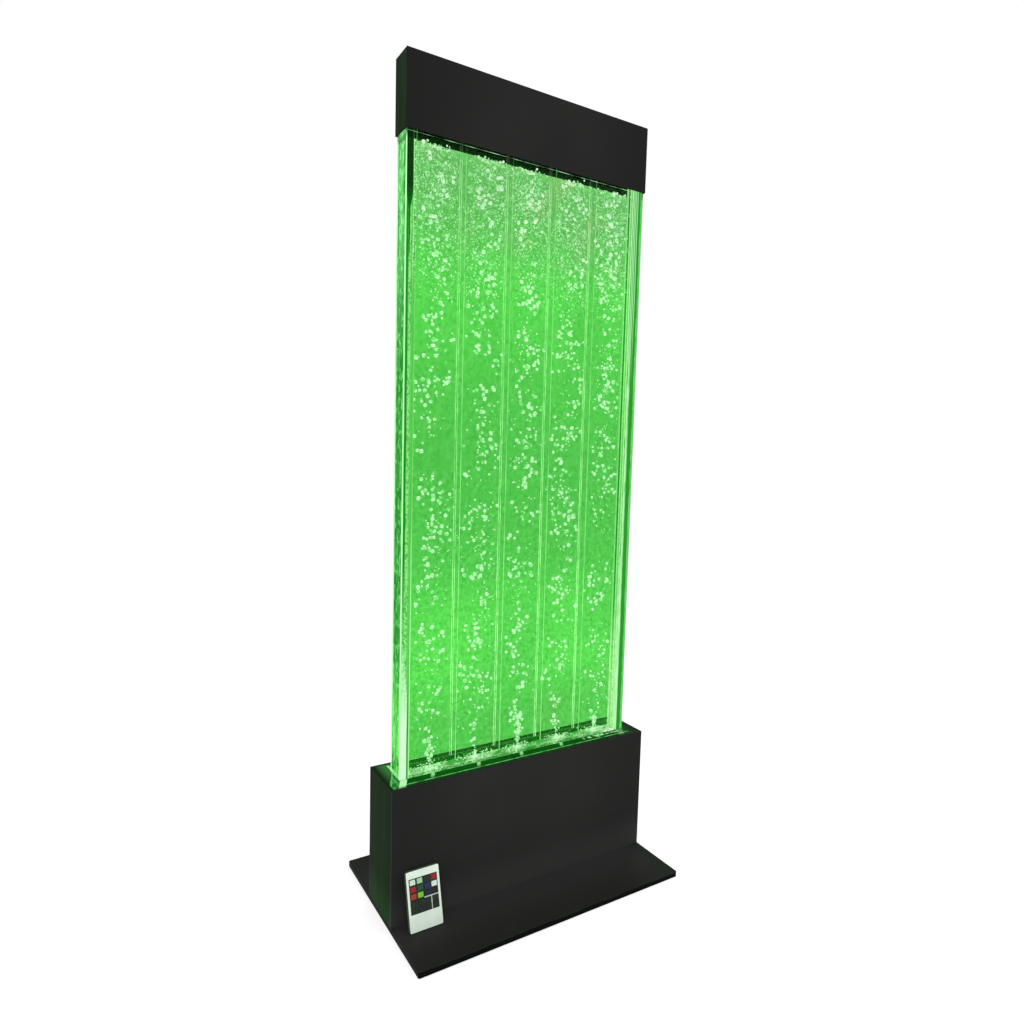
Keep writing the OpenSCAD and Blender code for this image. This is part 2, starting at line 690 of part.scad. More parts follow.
module drain_valve() color([0.75, 0.75, 0.78]) difference() {
    union() {
        rod_y(drain_barb_r, valve_barb_len + eps, drain_x,
              back_y - panel_t - valve_flange_t - valve_barb_len, port_cz);
        rod_y(valve_flange_r, valve_flange_t, drain_x, back_y - panel_t - valve_flange_t, port_cz);
        rod_y(valve_thread_r, panel_t + 2 * eps, drain_x, back_y - panel_t - eps, port_cz);
        translate([drain_x, back_y, port_cz]) rotate([-90, 0, 0])
            cylinder(d = valve_nut_af / cos(30), h = valve_nut_t, $fn = 6);
        rod_y(valve_r, valve_len, drain_x, back_y + valve_nut_t - eps, port_cz);
        rod_y(spigot_dia / 2, spigot_len, drain_x, back_y + valve_nut_t + valve_len - eps, port_cz);
        translate([drain_x, ball_y, port_cz]) cylinder(r = stem_boss_r, h = valve_r + stem_boss_h);
    }
    translate([drain_x, ball_y, port_cz]) sphere(ball_r + ball_gap);
    translate([drain_x, ball_y, port_cz]) cylinder(r = stem_r + ball_gap, h = valve_r + stem_boss_h + 1);
    rod_y(valve_bore_r, 2 * plinth_d, drain_x, back_y - plinth_d, port_cz);
}

module drain_lever() translate([drain_x, ball_y, port_cz]) {
    color([0.8, 0.8, 0.82]) difference() {
        union() {
            sphere(ball_r);
            cylinder(r = stem_r, h = valve_r + stem_boss_h + 0.3 + eps);
        }
        translate([-2 * ball_r, 0, 0]) rotate([0, 90, 0]) cylinder(r = valve_bore_r, h = 4 * ball_r);
    }
    color([0.7, 0.1, 0.1]) translate([0, 0, valve_r + stem_boss_h + 0.3]) {
        cylinder(d = lever_w + 2, h = lever_t);
        translate([-lever_len, -lever_w / 2, 0]) cube([lever_len, lever_w, lever_t]);
    }
}

// The route of the drain hose, filled with a radius of r
module drain_route(r, over) {
    bend_z = port_cz + drain_bend_r;
    translate([drain_x, 0, bend_z]) cylinder(r = r, h = floor_top - bend_z + over);
    translate([drain_x, drain_bend_r, bend_z]) rotate([90, 0, 90]) rotate([0, 0, 180])
        rotate_extrude(angle = 90) translate([drain_bend_r, 0]) circle(r);
    rod_y(r, back_y - panel_t - valve_flange_t - 1 - drain_bend_r + over, drain_x, drain_bend_r,
          port_cz);
}

module drain_hose() color([0.85, 0.95, 0.88]) difference() {
    drain_route(drain_hose_r, 0);
    drain_route(drain_bore_r, 1);
}

module top_cap() color([0.13, 0.13, 0.13]) difference() {
    block(tank_w + 2 * (tank_gap + cap_wall), tank_d + 2 * (tank_gap + cap_wall), cap_h,
          total_h - cap_h);
    block(tank_w + 2 * tank_gap, tank_d + 2 * tank_gap, cap_h - cap_wall + 1, total_h - cap_h - 1);
}

// Puts the remote's own frame in place: x across, z along its length, -y out of its face
module on_remote() {
    translate([-remote_x, remote_foot_y, plate_top + seat_gap]) rotate([-remote_lean, 0, 0]) children();
}

// A flat shape in the remote's face, raised from depth w0 to depth w1
module layer(w0, w1) {
    translate([0, -w0, 0]) rotate([90, 0, 0]) linear_extrude(w1 - w0) children();
}

// The outline of the remote, drawn in by inset
module remote_outline(inset) {
    translate([0, remote_len / 2])
        rounded_rect(remote_w - 2 * inset, remote_len - 2 * inset, max(remote_corner_r - inset, 0.3));
}

// The mouth of the battery tray, through the right-hand wall of the case
module tray_mouth() {
    translate([0, -tray_w0 - tray_t - 0.1, tray_z0 - 0.2])
        cube([remote_w, tray_t + 0.2, tray_len + 0.4]);
}

// The hole for the infra-red LED in the case's top wall
module ir_hole() {
    translate([0, -ir_led_w, remote_len - case_wall - 1]) cylinder(r = ir_led_r + 0.1, h = case_wall + 2);
}

module remote_back_case() color([0.93, 0.93, 0.93]) on_remote() {
    difference() {
        layer(0, case_split) remote_outline(0);
        layer(case_skin, case_split + 1) remote_outline(case_wall);
        tray_mouth();
        ir_hole();
    }
    for (x = [-1, 1]) translate([x * remote_w / 4 - 1, -(pcb_front - pcb_t), pcb_z0 + 2])
        cube([2, pcb_front - pcb_t - case_skin + eps, pcb_z1 - pcb_z0 - 4]);
}

module remote_front_case() color([0.95, 0.95, 0.95]) on_remote() difference() {
    layer(case_split, remote_t) remote_outline(0);
    layer(case_split - 1, remote_t - case_skin) remote_outline(case_wall);
    layer(remote_t - panel_recess, remote_t + 1)
        translate([0, panel_cz]) square([panel_w + 0.2, panel_h + 0.2], center = true);
    layer(case_split, remote_t + 1) translate([0, panel_cz])
        square([panel_w - 2 * panel_ledge, panel_h - 2 * panel_ledge], center = true);
    tray_mouth();
    ir_hole();
}

// Puts its children at the middle of a key, counting rows from the top
module at_key(row, col) {
    translate([(col - (key_cols + 1) / 2) * key_pitch_x,
               panel_cz + ((key_rows + 1) / 2 - row) * key_pitch_z]) children();
}

module remote_key_panel() color([0.12, 0.12, 0.13]) on_remote()
    layer(remote_t - panel_recess, remote_t) difference() {
        translate([0, panel_cz]) square([panel_w, panel_h], center = true);
        for (row = [1 : key_rows], col = [1 : key_cols])
            at_key(row, col) square([key_w + 0.5, key_h + 0.5], center = true);
    }

module remote_board() on_remote() {
    color([0.1, 0.35, 0.2]) layer(pcb_front - pcb_t, pcb_front)
        translate([-remote_w / 2 + case_wall + pcb_gap, pcb_z0])
            square([remote_w - 2 * case_wall - 2 * pcb_gap, pcb_z1 - pcb_z0]);
    color([0.2, 0.2, 0.3]) translate([0, -ir_led_w, pcb_z1]) {
        cylinder(r = ir_led_r, h = remote_len - pcb_z1);
        translate([0, 0, remote_len - pcb_z1]) sphere(ir_led_r);
    }
}

module battery_tray() color([0.93, 0.93, 0.93]) on_remote() difference() {
    layer(tray_w0, tray_w0 + tray_t)
        translate([tray_end_x, tray_z0]) square([remote_w / 2 - tray_end_x, tray_len]);
    layer(tray_w0 + tray_floor, tray_w0 + tray_t + 1)
        translate([0, tray_z0 + tray_len / 2]) circle(coin_dia / 2 + 0.2);
}

module coin_cell() color([0.8, 0.8, 0.82]) on_remote()
    layer(tray_w0 + tray_floor, tray_w0 + tray_floor + coin_t)
        translate([0, tray_z0 + tray_len / 2]) circle(coin_dia / 2);

// The colours of the keys, row by row from the top
key_colours = [["white", "honeydew", "dimgray", "red"],
               ["red", "green", "blue", "white"],
               ["orangered", "lightgreen", "darkblue", "black"],
               ["dimgray", "dimgray", "dimgray", "dimgray"],
               ["dimgray", "dimgray", "dimgray", "dimgray"]];

module key(row, col) color(key_colours[row - 1][col - 1]) on_remote() {
    layer(key_flange_w - eps, remote_t + key_proud)
        at_key(row, col) square([key_w, key_h], center = true);
    layer(key_flange_w - key_flange_t, key_flange_w) at_key(row, col)
        square([key_w + 2 * key_flange, key_h + 2 * key_flange], center = true);
    layer(pcb_front + key_travel + 0.2, key_flange_w - key_flange_t + eps)
        at_key(row, col) square(key_stem_side, center = true);
}

base_plate();
base_pads();
base_screws();
corner_posts();
plinth_front();
plinth_back();
plinth_ends();
plinth_top();
tank_shelf();
tank_front_sheet();
tank_back_sheet();
tank_side_bars();
tank_dividers();
tank_floor();
air_nozzles();
led_channel();
led_strips();
air_manifold();
air_hoses();
pump_case();
pump_lid();
pump_coil();
pump_chamber();
pump_bellows();
pump_arm();
control_board();
wiring();
dc_inlet();
switch_housing();
switch_rocker();
drain_valve();
drain_lever();
drain_hose();
top_cap();
remote_back_case();
remote_front_case();
remote_key_panel();
remote_board();
battery_tray();
coin_cell();
key(1, 1);  // key_row1_col1
key(1, 2);  // key_row1_col2
key(1, 3);  // key_row1_col3
key(1, 4);  // key_row1_col4
key(2, 1);  // key_row2_col1
key(2, 2);  // key_row2_col2
key(2, 3);  // key_row2_col3
key(2, 4);  // key_row2_col4
key(3, 1);  // key_row3_col1
key(3, 2);  // key_row3_col2
key(3, 3);  // key_row3_col3
key(3, 4);  // key_row3_col4
key(4, 1);  // key_row4_col1
key(4, 2);  // key_row4_col2
key(4, 3);  // key_row4_col3
key(4, 4);  // key_row4_col4
key(5, 1);  // key_row5_col1
key(5, 2);  // key_row5_col2
key(5, 3);  // key_row5_col3
key(5, 4);  // key_row5_col4
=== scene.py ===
# %% [markdown]
# # A bubble wall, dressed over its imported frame
# The object is a free-standing lamp: a tall thin tank of water between two clear acrylic sheets,
# five upright cells with a stream of air bubbles in each, a black plinth that holds the works, a
# base plate and a cap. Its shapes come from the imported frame. What is made here is what a frame
# can't hold: the water, the bubbles, the pump's soft bellows, the glow of the light, and the finish
# of every surface.

# %% Load the frame
import math

import bmesh
import bpy
from mathutils import Matrix, Vector


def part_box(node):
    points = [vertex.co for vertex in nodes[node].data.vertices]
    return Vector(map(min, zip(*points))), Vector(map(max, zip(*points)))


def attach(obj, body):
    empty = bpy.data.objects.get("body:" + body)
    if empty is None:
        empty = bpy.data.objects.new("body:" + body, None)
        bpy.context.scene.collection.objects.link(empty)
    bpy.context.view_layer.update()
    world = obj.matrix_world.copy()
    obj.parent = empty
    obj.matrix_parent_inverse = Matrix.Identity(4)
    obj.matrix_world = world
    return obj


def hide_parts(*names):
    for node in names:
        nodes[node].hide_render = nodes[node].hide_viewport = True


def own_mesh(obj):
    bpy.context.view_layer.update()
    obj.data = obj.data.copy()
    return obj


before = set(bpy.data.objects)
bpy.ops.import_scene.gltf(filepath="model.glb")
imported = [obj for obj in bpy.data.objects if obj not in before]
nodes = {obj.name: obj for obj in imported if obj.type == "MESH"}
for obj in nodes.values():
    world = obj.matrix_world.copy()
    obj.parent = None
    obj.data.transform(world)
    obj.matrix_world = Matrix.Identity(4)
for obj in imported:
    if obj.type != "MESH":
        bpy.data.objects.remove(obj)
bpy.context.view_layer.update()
MM = 0.001
print("nodes in the frame:", len(nodes))

# %% [markdown]
# ## The camera
# The photograph was taken from the front left, a little above half height, with a short lens that
# makes the upright edges lean together. The camera's place, its turn and its lens were solved from
# the corners of the plinth, the tank and the cap, so it is set by numbers and not by eye.

# %% Camera
PHOTO_SIDE = 1024
FOCAL_PIXELS = 698.15
CAMERA_PLACE = Vector((-573.7, -913.1, 680.3)) * MM
AZIMUTH, ELEVATION, ROLL = math.radians(-31.33), math.radians(5.02), math.radians(1.47)


def camera_turn():
    """The camera's rotation, from where it stands round the object, how high, and its roll."""
    back = Vector((math.sin(AZIMUTH) * math.cos(ELEVATION),
                   -math.cos(AZIMUTH) * math.cos(ELEVATION), math.sin(ELEVATION)))
    right = Vector((0, 0, 1)).cross(back).normalized()
    up = back.cross(right)
    rolled_right = math.cos(ROLL) * right + math.sin(ROLL) * up
    rolled_up = -math.sin(ROLL) * right + math.cos(ROLL) * up
    return Matrix((rolled_right, rolled_up, back)).transposed()


def place(name, data):
    """A new object in the scene."""
    item = bpy.data.objects.new(name, data)
    bpy.context.scene.collection.objects.link(item)
    return item


lens = bpy.data.cameras.new("photo camera")
lens.sensor_width = 36
lens.lens = FOCAL_PIXELS * lens.sensor_width / PHOTO_SIDE
lens.clip_end = 50
camera = place("photo camera", lens)
camera.matrix_world = Matrix.Translation(CAMERA_PLACE) @ camera_turn().to_4x4()
bpy.context.scene.camera = camera
print("lens in mm: %.2f" % lens.lens)

# %% [markdown]
# ## Sizes read back from the frame
# Every piece made here has to sit on the frame, so its places come from the boxes of the frame's
# nodes. Nothing is measured twice.

# %% Places taken from the frame
floor_low, floor_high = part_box("tank_floor")
back_low, back_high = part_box("tank_back_sheet")
cap_low, cap_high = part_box("top_cap")
sheet_high, divider_high, nozzle_high, plinth_high, ends_high, plate_high = (
    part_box(name)[1] for name in ("tank_front_sheet", "tank_dividers", "air_nozzles",
                                 "plinth_front", "plinth_ends", "base_plate"))
CELLS = 5
DIVIDER_T = 3 * MM
cell_pitch = (floor_high.x - floor_low.x + DIVIDER_T) / CELLS
cell_middles = [(i - (CELLS - 1) / 2) * cell_pitch for i in range(CELLS)]
half_cell = (cell_pitch - DIVIDER_T) / 2
pitch, tank_end, cell_end = cell_pitch / MM, sheet_high.x / MM, floor_high.x / MM
tank_face, bar_depth = back_high.y / MM, back_low.y / MM
z_foot, z_head = plinth_high.z / MM, cap_low.z / MM
print("cell pitch in mm: %.1f, tank seen from z %.0f to %.0f" % (pitch, z_foot, z_head))

# %% [markdown]
# ## Node sums in plain Python
# A finish is a few sums on coordinates and noise, and a stream of bubbles is a few sums on random
# numbers. Written by hand as nodes they are long, so one class wraps the output of a node, and an
# expression on wrapped outputs adds its Math nodes by itself. A number can also be ramped smoothly
# between two levels, shown as a band between two of them, or used as the share of a mix.

# %% The value


def maths(operation):
    """A method that adds one Math node with this operation."""
    def method(self, other=0.0):
        return self.tree.sum(operation, self, other)
    return method


class Value:
    """One output of a node. Python's operators on it add the Math nodes that a sum needs."""

    __add__ = __radd__ = maths("ADD")
    __mul__ = __rmul__ = maths("MULTIPLY")
    __sub__, __truediv__ = maths("SUBTRACT"), maths("DIVIDE")
    __mod__, __pow__ = maths("MODULO"), maths("POWER")
    above, below = maths("GREATER_THAN"), maths("LESS_THAN")
    least, most = maths("MINIMUM"), maths("MAXIMUM")
    size, floor, wave = maths("ABSOLUTE"), maths("FLOOR"), maths("SINE")

    def __init__(self, tree, socket):
        self.tree, self.socket = tree, socket

    def __rsub__(self, other):
        return self.tree.sum("SUBTRACT", other, self)

    def other(self, output):
        """Another output of the same node."""
        return Value(self.tree, self.socket.node.outputs[output])

    def ramp(self, low, high, start=0.0, end=1.0):
        """This number mapped smoothly from low..high to start..end, and held at both ends."""
        return self.tree.add("ShaderNodeMapRange", {"interpolation_type": "SMOOTHSTEP"},
                             {"Value": self, "From Min": low, "From Max": high,
                              "To Min": start, "To Max": end})

    def band(self, low, high, soft=0.4):
        """One where this number lies between low and high, none elsewhere, with soft borders."""
        return self.ramp(low - soft, low + soft) * self.ramp(high + soft, high - soft)

    def mix(self, first, second):
        """A colour between two colours, where this number is the share of the second."""
        return self.tree.mix(self, first, second)


# %% [markdown]
# Every other node, in a material, in the world or in a geometry tree, comes from one method, which
# sets the node's settings before the values and links of its sockets.

# %% The tree


class Tree:
    """A node tree in the making."""

    def __init__(self, tree):
        self.tree = tree

    def add(self, kind, settings, values, output=0):
        """Adds one node: its type, its settings, then the values or links of its sockets."""
        node = self.tree.nodes.new(kind)
        for name, value in settings.items():
            setattr(node, name, value)
        for key, value in values.items():
            self.give(node.inputs[key], value)
        return Value(self, node.outputs[output] if node.outputs else None)

    def give(self, socket, value):
        """Links a value to a socket, or writes a constant in it."""
        if isinstance(value, Value):
            self.tree.links.new(value.socket, socket)
        elif socket.type == "RGBA":
            socket.default_value = (*value, 1)
        else:
            socket.default_value = value

    def sum(self, operation, first, second):
        return self.add("ShaderNodeMath", {"operation": operation}, {0: first, 1: second})

    def mix(self, share, first, second):
        """A colour between two colours."""
        return self.add("ShaderNodeMix", {"data_type": "RGBA"}, {0: share, 6: first, 7: second}, 2)

    def seen(self):
        """One for what the camera, gloss and clear water see, none for plain light."""
        path = self.add("ShaderNodeLightPath", {}, {}, "Is Camera Ray")
        return path.most(path.other("Is Glossy Ray")).most(path.other("Is Transmission Ray"))


# %% [markdown]
# A finish adds the shader to the tree, the point on the surface, and what all the finishes share:
# cloudy noise, spots, tones laid over each other, and a small relief. A pattern is stretched into
# streaks by scaling the point along each axis first.

# %% The finish


class Finish(Tree):
    """A material in the making, with its Principled shader."""

    def __init__(self, name, **constants):
        self.material = bpy.data.materials.new(name)
        self.material.use_nodes = True
        super().__init__(self.material.node_tree)
        self.shader = self.tree.nodes["Principled BSDF"]
        self.point = self.add("ShaderNodeTexCoord", {}, {}, "Object")
        self.feed(**constants)

    def feed(self, **sockets):
        """Links a value or sets a constant on the shader, by its socket's name."""
        for words, value in sockets.items():
            title = words.replace("_", " ").title().replace("Ior", "IOR")
            self.give(self.shader.inputs[title], value)
        return self

    def colour(self):
        """The colour that the shader has so far."""
        return Value(self, self.shader.inputs["Base Color"].links[0].from_socket)

    def split(self, vector):
        """The three numbers of a vector."""
        x = self.add("ShaderNodeSeparateXYZ", {}, {0: vector})
        return x, x.other(1), x.other(2)

    def axes(self):
        """The three numbers of the point, in millimetres."""
        return [number * 1000 for number in self.split(self.point)]

    def facing(self):
        """How far the surface faces along each axis, from -1 to 1."""
        return self.split(self.point.other("Normal"))

    def stretched(self, along):
        """The point, with each axis scaled if a pattern has to run along one of them."""
        if along is None:
            return self.point
        return self.add("ShaderNodeVectorMath", {"operation": "MULTIPLY"},
                        {0: self.point, 1: along})

    def noise(self, scale, detail=2.0, along=None):
        return self.add("ShaderNodeTexNoise", {},
                        {"Vector": self.stretched(along), "Scale": scale, "Detail": detail})

    def spots(self, scale, along=None):
        """The distance to the nearest of many scattered points, in cells."""
        return self.add("ShaderNodeTexVoronoi", {},
                        {"Vector": self.stretched(along), "Scale": scale})

    def paint(self, colour, *layers):
        """A colour with others laid over it, each where its mask is one."""
        for mask, tone in layers:
            colour = self.mix(mask, colour, tone)
        return colour

    def bump(self, height, depth=0.08, distance=0.3 * MM):
        """A small relief of the surface from a height value."""
        return self.feed(normal=self.add("ShaderNodeBump", {}, {
            "Height": height, "Strength": depth, "Distance": distance}))


def dress(finish, *names):
    """Puts a finish on nodes of the frame, in place of the plain one they are packed with."""
    for name in names:
        nodes[name].data.materials.clear()
        nodes[name].data.materials.append(finish.material)
    print("%s: %s" % (finish.material.name, ", ".join(names)))

# %% [markdown]
# ## Black finishes
# The plinth's front, its back and the cap are satin black panels, nearly neutral. The ends catch
# the tank's light, which is painted on them as a very dark green. Real satin panels aren't quite
# one tone: they have a fine orange-peel relief and faint wiping marks. The tone also changes a
# little towards the ends, and the foot is painted lighter, as light that the base plate throws
# back. Their shine is kept low, or a slanting look at the ends would show the pale room as grey.

# %% Satin panels
SATIN_SHINE, END_SHINE = 0.012, 0.006
# The end tones are black with the tank's green light painted in.
PLINTH_END_LIT_GREEN, CAP_END_LIT_GREEN = (0.0035, 0.0180, 0.0030), (0.0006, 0.0146, 0.0008)


def satin_black(name, tone, foot_bounce_gain=1.0, end_gain=1.0, shine=SATIN_SHINE):
    """A satin panel: fine relief, uneven gloss from wiping, slight tone changes and a painted
    lighter foot.
    """
    finish = Finish(name, specular_ior_level=shine)
    x, y, z = finish.axes()
    # The foot is painted lighter, as light that the base plate throws back.
    lighter, plate_bounce_light, by_end = (tuple(c * gain + 0.0006 for c in tone)
                                 for gain in (1.12, foot_bounce_gain, end_gain))
    cloud = finish.noise(7, 3).ramp(0.35, 0.7)
    wipe = finish.noise(60, 3, (1, 1, 0.12))
    finish.feed(base_color=finish.paint(tone, (cloud, lighter), (x.size().ramp(60, 215), by_end),
                                        (z.ramp(75, 9), plate_bounce_light)),
                roughness=wipe.ramp(0.3, 0.75, 0.37, 0.50))
    return finish.bump(finish.noise(900, 1))


def cap_black():
    """The cap's satin black, with the tank's green light painted on its ends."""
    finish = satin_black("satin black cap", (0.0196, 0.0194, 0.0190), end_gain=0.80)
    at_end = finish.axes()[0].size().above(cap_high.x / MM - 0.4)
    return finish.feed(base_color=at_end.mix(finish.colour(), CAP_END_LIT_GREEN))


dress(satin_black("satin black panel", (0.0252, 0.0262, 0.0246), 1.6, 0.78),
      "plinth_front", "plinth_back")
dress(satin_black("satin black end panel", PLINTH_END_LIT_GREEN, 2.85, 1.06, END_SHINE), "plinth_ends")
dress(cap_black(), "top_cap")

# %% [markdown]
# The base plate is satin too. It is lighter near the plinth, and green where the tank's light falls
# past the ends, which is painted light. Its sides are painted darker as shade, and a thin broken
# highlight is painted along its upper edge.

# %% Base plate


def plate_black():
    """The base plate: satin on top, painted shade on the sides, a painted highlight along the upper
    edge.
    """
    finish = Finish("satin black base plate", specular_ior_level=SATIN_SHINE, roughness=0.4)
    x, y, z = finish.axes()
    # Painted shade: the upright sides are much darker than the top.
    side = finish.facing()[2].below(0.5)
    # Painted highlight: a thin broken light line along the upper edge of the sides.
    edge_highlight = side * z.ramp(plate_high.z / MM - 1.3, plate_high.z / MM - 0.5)
    edge_highlight = edge_highlight * finish.noise(14, 2).ramp(0.40, 0.60)
    beside = ends_high.x / MM
    green = x.ramp(beside - 35, beside + 5).most(
        (x * -1).ramp(beside - 6, beside + 2) * y.ramp(-85, -50))
    by_plinth = y.size().ramp(140, 46) * (1 - green)
    top = finish.noise(6, 3).ramp(0.35, 0.7).mix((0.0205, 0.0210, 0.0194), (0.0220, 0.0230, 0.0208))
    finish.feed(base_color=finish.paint(
        top, (green, (0.0110, 0.0255, 0.0130)), (by_plinth, (0.0330, 0.0335, 0.0325)),
        (side, (0.0030, 0.0042, 0.0032)), (edge_highlight, (0.0260, 0.0360, 0.0270))))
    return finish.bump(finish.noise(900, 1))


dress(plate_black(), "base_plate")

# %% [markdown]
# The plinth's top is polished, and the tank's light lies on it: a soft leak round the tank, a thin
# broken seam of light along the slot, a bright spot before each stream of air, the foot of the
# bars, a row of beads, and on the left the mirror image of the tank's end, which slants away from
# the tank. A polished black would mirror the pale room as well, so its shine is kept very low and
# these lights are painted in.

# %% Gloss top
SLOT_SEAM, BEADED = (31.8, 33.8), (118, 190)
MIRROR_SLANT = 2.26


def off_divider(distance):
    """How far past the nearest divider a distance from the wall's middle is."""
    return distance % pitch - pitch / 2


def light_on_top(finish, x, y):
    """The tank's light on the plinth's top, as masks with their tones."""
    off_tank = (x.size() - tank_end).most(y.size() - tank_face)
    leak = off_tank.ramp(34, 4) * finish.noise(60, 2).ramp(0.30, 0.55, 0.55, 1)
    leak = leak * x.size().ramp(tank_end + 4, tank_end)
    dashes = finish.noise(70, 2, (1, 0, 0)).ramp(0.36, 0.56, 0.25, 1)
    seam = y.size().band(*SLOT_SEAM) * x.size().below(tank_end + 1) * dashes
    slanted = (x + (y.size() - tank_face) * 0.5).size()
    off_air = pitch / 2 - off_divider(slanted).size()
    by_air = off_air.ramp(4.5, 1.0) * y.size().ramp(tank_face + 16, tank_face + 5)
    by_air = by_air * x.size().below(cell_end)
    lumps = (finish.noise(420, 2) + y.size().ramp(tank_face, tank_face + 5)).ramp(0.50, 0.75)
    bar_foot = slanted.band(cell_end + 4, tank_end - 1, 0.8) * y.below(0)
    bar_foot = bar_foot * y.size().ramp(tank_face + 25, tank_face + 15) * lumps
    bar_foot = bar_foot * x.below(0).most(0.25)
    behind_bar = x.size().band(tank_end - 4, tank_end - 0.5)
    behind_bar = behind_bar * y.ramp(tank_face + 21, tank_face + 15) * y.above(0)
    beads = x.band(*BEADED, 3) * (y * -1).band(tank_face + 3, tank_face + 9, 1)
    beads = beads * finish.noise(150, 1, (1, 0.6, 0)).ramp(0.46, 0.56)
    beyond = x.size() - tank_end
    by_end = beyond.ramp(20, 4) * y.ramp(-42, 18, 0.15, 1) * beyond.above(0)
    return [(by_end * x.below(0).mix((0.45,) * 3, (1,) * 3), (0.030, 0.160, 0.029)),
            (leak, y.above(0).mix((0.0010, 0.095, 0.0025), (0.005, 0.20, 0.006))),
            (seam, (0.17, 0.56, 0.17)), (by_air * 0.8, (0.34, 0.88, 0.33)),
            (bar_foot, (0.45, 0.93, 0.44)), (behind_bar, (0.30, 0.86, 0.34)),
            (beads * 0.85, (0.40, 0.92, 0.40))]


def mirrored_end(finish, x, y):
    """The mirror image of the tank's left end: where it lies, and its tones."""
    beyond = x.size() - tank_end
    mirrored = y + beyond * MIRROR_SLANT
    patches = finish.noise(230, 2, (1, 0.4, 0)).ramp(0.44, 0.60)
    where = beyond.above(0) * x.below(0) * mirrored.size().below(tank_face) * y.ramp(-43, -33)
    return where, finish.paint(
        patches.mix((0.014, 0.16, 0.018), (0.07, 0.38, 0.08)),
        (mirrored.ramp(tank_face - 3, tank_face - 1), (0.0010, 0.070, 0.0025)),
        (mirrored.band(tank_face - 9, tank_face - 4, 1) * 0.7, (0.14, 0.60, 0.15)))


def gloss_black():
    """The plinth's top: polished black with a little dust, and the tank's light on it."""
    finish = Finish("gloss black top panel", specular_ior_level=0.004, emission_strength=1.0)
    x, y, z = finish.axes()
    dust = finish.noise(1400, 1).ramp(0.66, 0.74)
    glow = finish.paint((0.0060, 0.016, 0.0062), *light_on_top(finish, x, y),
                        mirrored_end(finish, x, y))
    finish.feed(base_color=dust.mix((0.0015, 0.0040, 0.0018), (0.02, 0.05, 0.02)),
                roughness=finish.noise(25, 2).ramp(0.3, 0.7, 0.04, 0.10),
                emission_color=finish.facing()[2].above(0.5).mix((0, 0, 0), glow))
    return finish.bump(finish.noise(14, 1), 0.05, 0.6 * MM)


dress(gloss_black(), "plinth_top")

# %% [markdown]
# ## Light behind the water's face
# The tank's green light is painted into the water as a tint that light gets on the way through,
# and each face of the water takes half of that colour. What lies behind one face looks greener and
# darker than it is.
# So the light of a thing in the water is worked out from the tone that it shows as seen from the
# room, with this small sum.

# %% As seen in the water
WATER_GREEN = (0.092, 0.628, 0.079)
SHEET_CLEAR = 0.93


def lit(tone, strength=1.0, in_water=True):
    """The emission colour that shows as this tone, behind one face of the water or in the room."""
    faces = [math.sqrt(c) * SHEET_CLEAR if in_water else 1 for c in WATER_GREEN]
    return tuple(c / f / strength for c, f in zip(tone, faces))


print("what is seen of white behind one face of water: %.2f %.2f %.2f"
      % tuple(math.sqrt(c) for c in WATER_GREEN))

# %% [markdown]
# ## Clear acrylic that carries the light
# The light enters the tank from below and runs up inside the clear sheets and bars. A polished
# sheet lets it out mostly at its edges, so the ends glow and the faces carry only a faint painted
# glow. Just under the cap the front sheet catches it in a thin broken line.

# %% Clear sheets
WHITE_GREEN = (0.52, 0.95, 0.51)
CREAM = (0.47, 0.96, 0.37)
LIGHT = (0.24, 0.83, 0.20)
DEEP = (0.007, 0.240, 0.009)
NIGHT = (0.0024, 0.012, 0.0030)


def clear_sheet(name):
    """A clear sheet: faces with a faint painted glow, glowing ends, a thin line just under the cap.
    """
    finish = Finish(name, roughness=0.03, ior=1.49, emission_strength=1.0,
                    base_color=(0.02, 0.16, 0.02))
    x, y, z = finish.axes()
    at_end = x.size().above(tank_end - 0.4)
    at_top = z.above(sheet_high.z / MM - 0.4) * (1 - at_end)
    broken = finish.noise(34, 2, (1, 0, 0)).ramp(0.38, 0.62)
    at_cap = z.band(z_head - 2.9, z_head - 2.1) * y.below(0.2 - tank_face) * (1 - at_end)
    at_cap = at_cap * (broken * 0.75 + 0.12)
    # Painted glow: the faces show a faint green, except in a band round the cap's lower edge.
    faint_glow = (z.ramp(z_head - 9, z_head - 13) + z.ramp(z_head + 16, z_head + 22)) * 0.05
    streak = finish.noise(420, 2, (1, 1, 0.02))
    ends = x.above(0).mix(streak.ramp(0.35, 0.65).mix(LIGHT, WHITE_GREEN),
                          streak.mix((0.03, 0.32, 0.03), (0.16, 0.70, 0.16)))
    ends = z.ramp(z_head - 14, z_head - 4).mix(ends, NIGHT)
    line = broken.mix((0.12, 0.38, 0.14), (0.42, 0.74, 0.46))
    return finish.feed(
        alpha=(faint_glow + at_end * 0.92 + at_top * 0.9 + at_cap).least(1),
        emission_color=finish.paint((0.03, 0.20, 0.03), ((at_cap * 9).least(1), line),
                                    (at_top, LIGHT), (at_end, ends)))


dress(clear_sheet("clear front sheet"), "tank_front_sheet")
dress(clear_sheet("clear back sheet"), "tank_back_sheet")

# %% [markdown]
# A thick bar shows more: the light is bent at its corners into upright lines, some nearly white,
# some a deep green, all whitish near the plinth. The left bar is seen against the dark, the right
# one against the light, so their lines differ. The lines are bands on the distance from the tank's
# end, on the depth and on the height, broken by noise stretched upwards.

# %% The fronts of the side bars
BAR_GLOW = 1.3


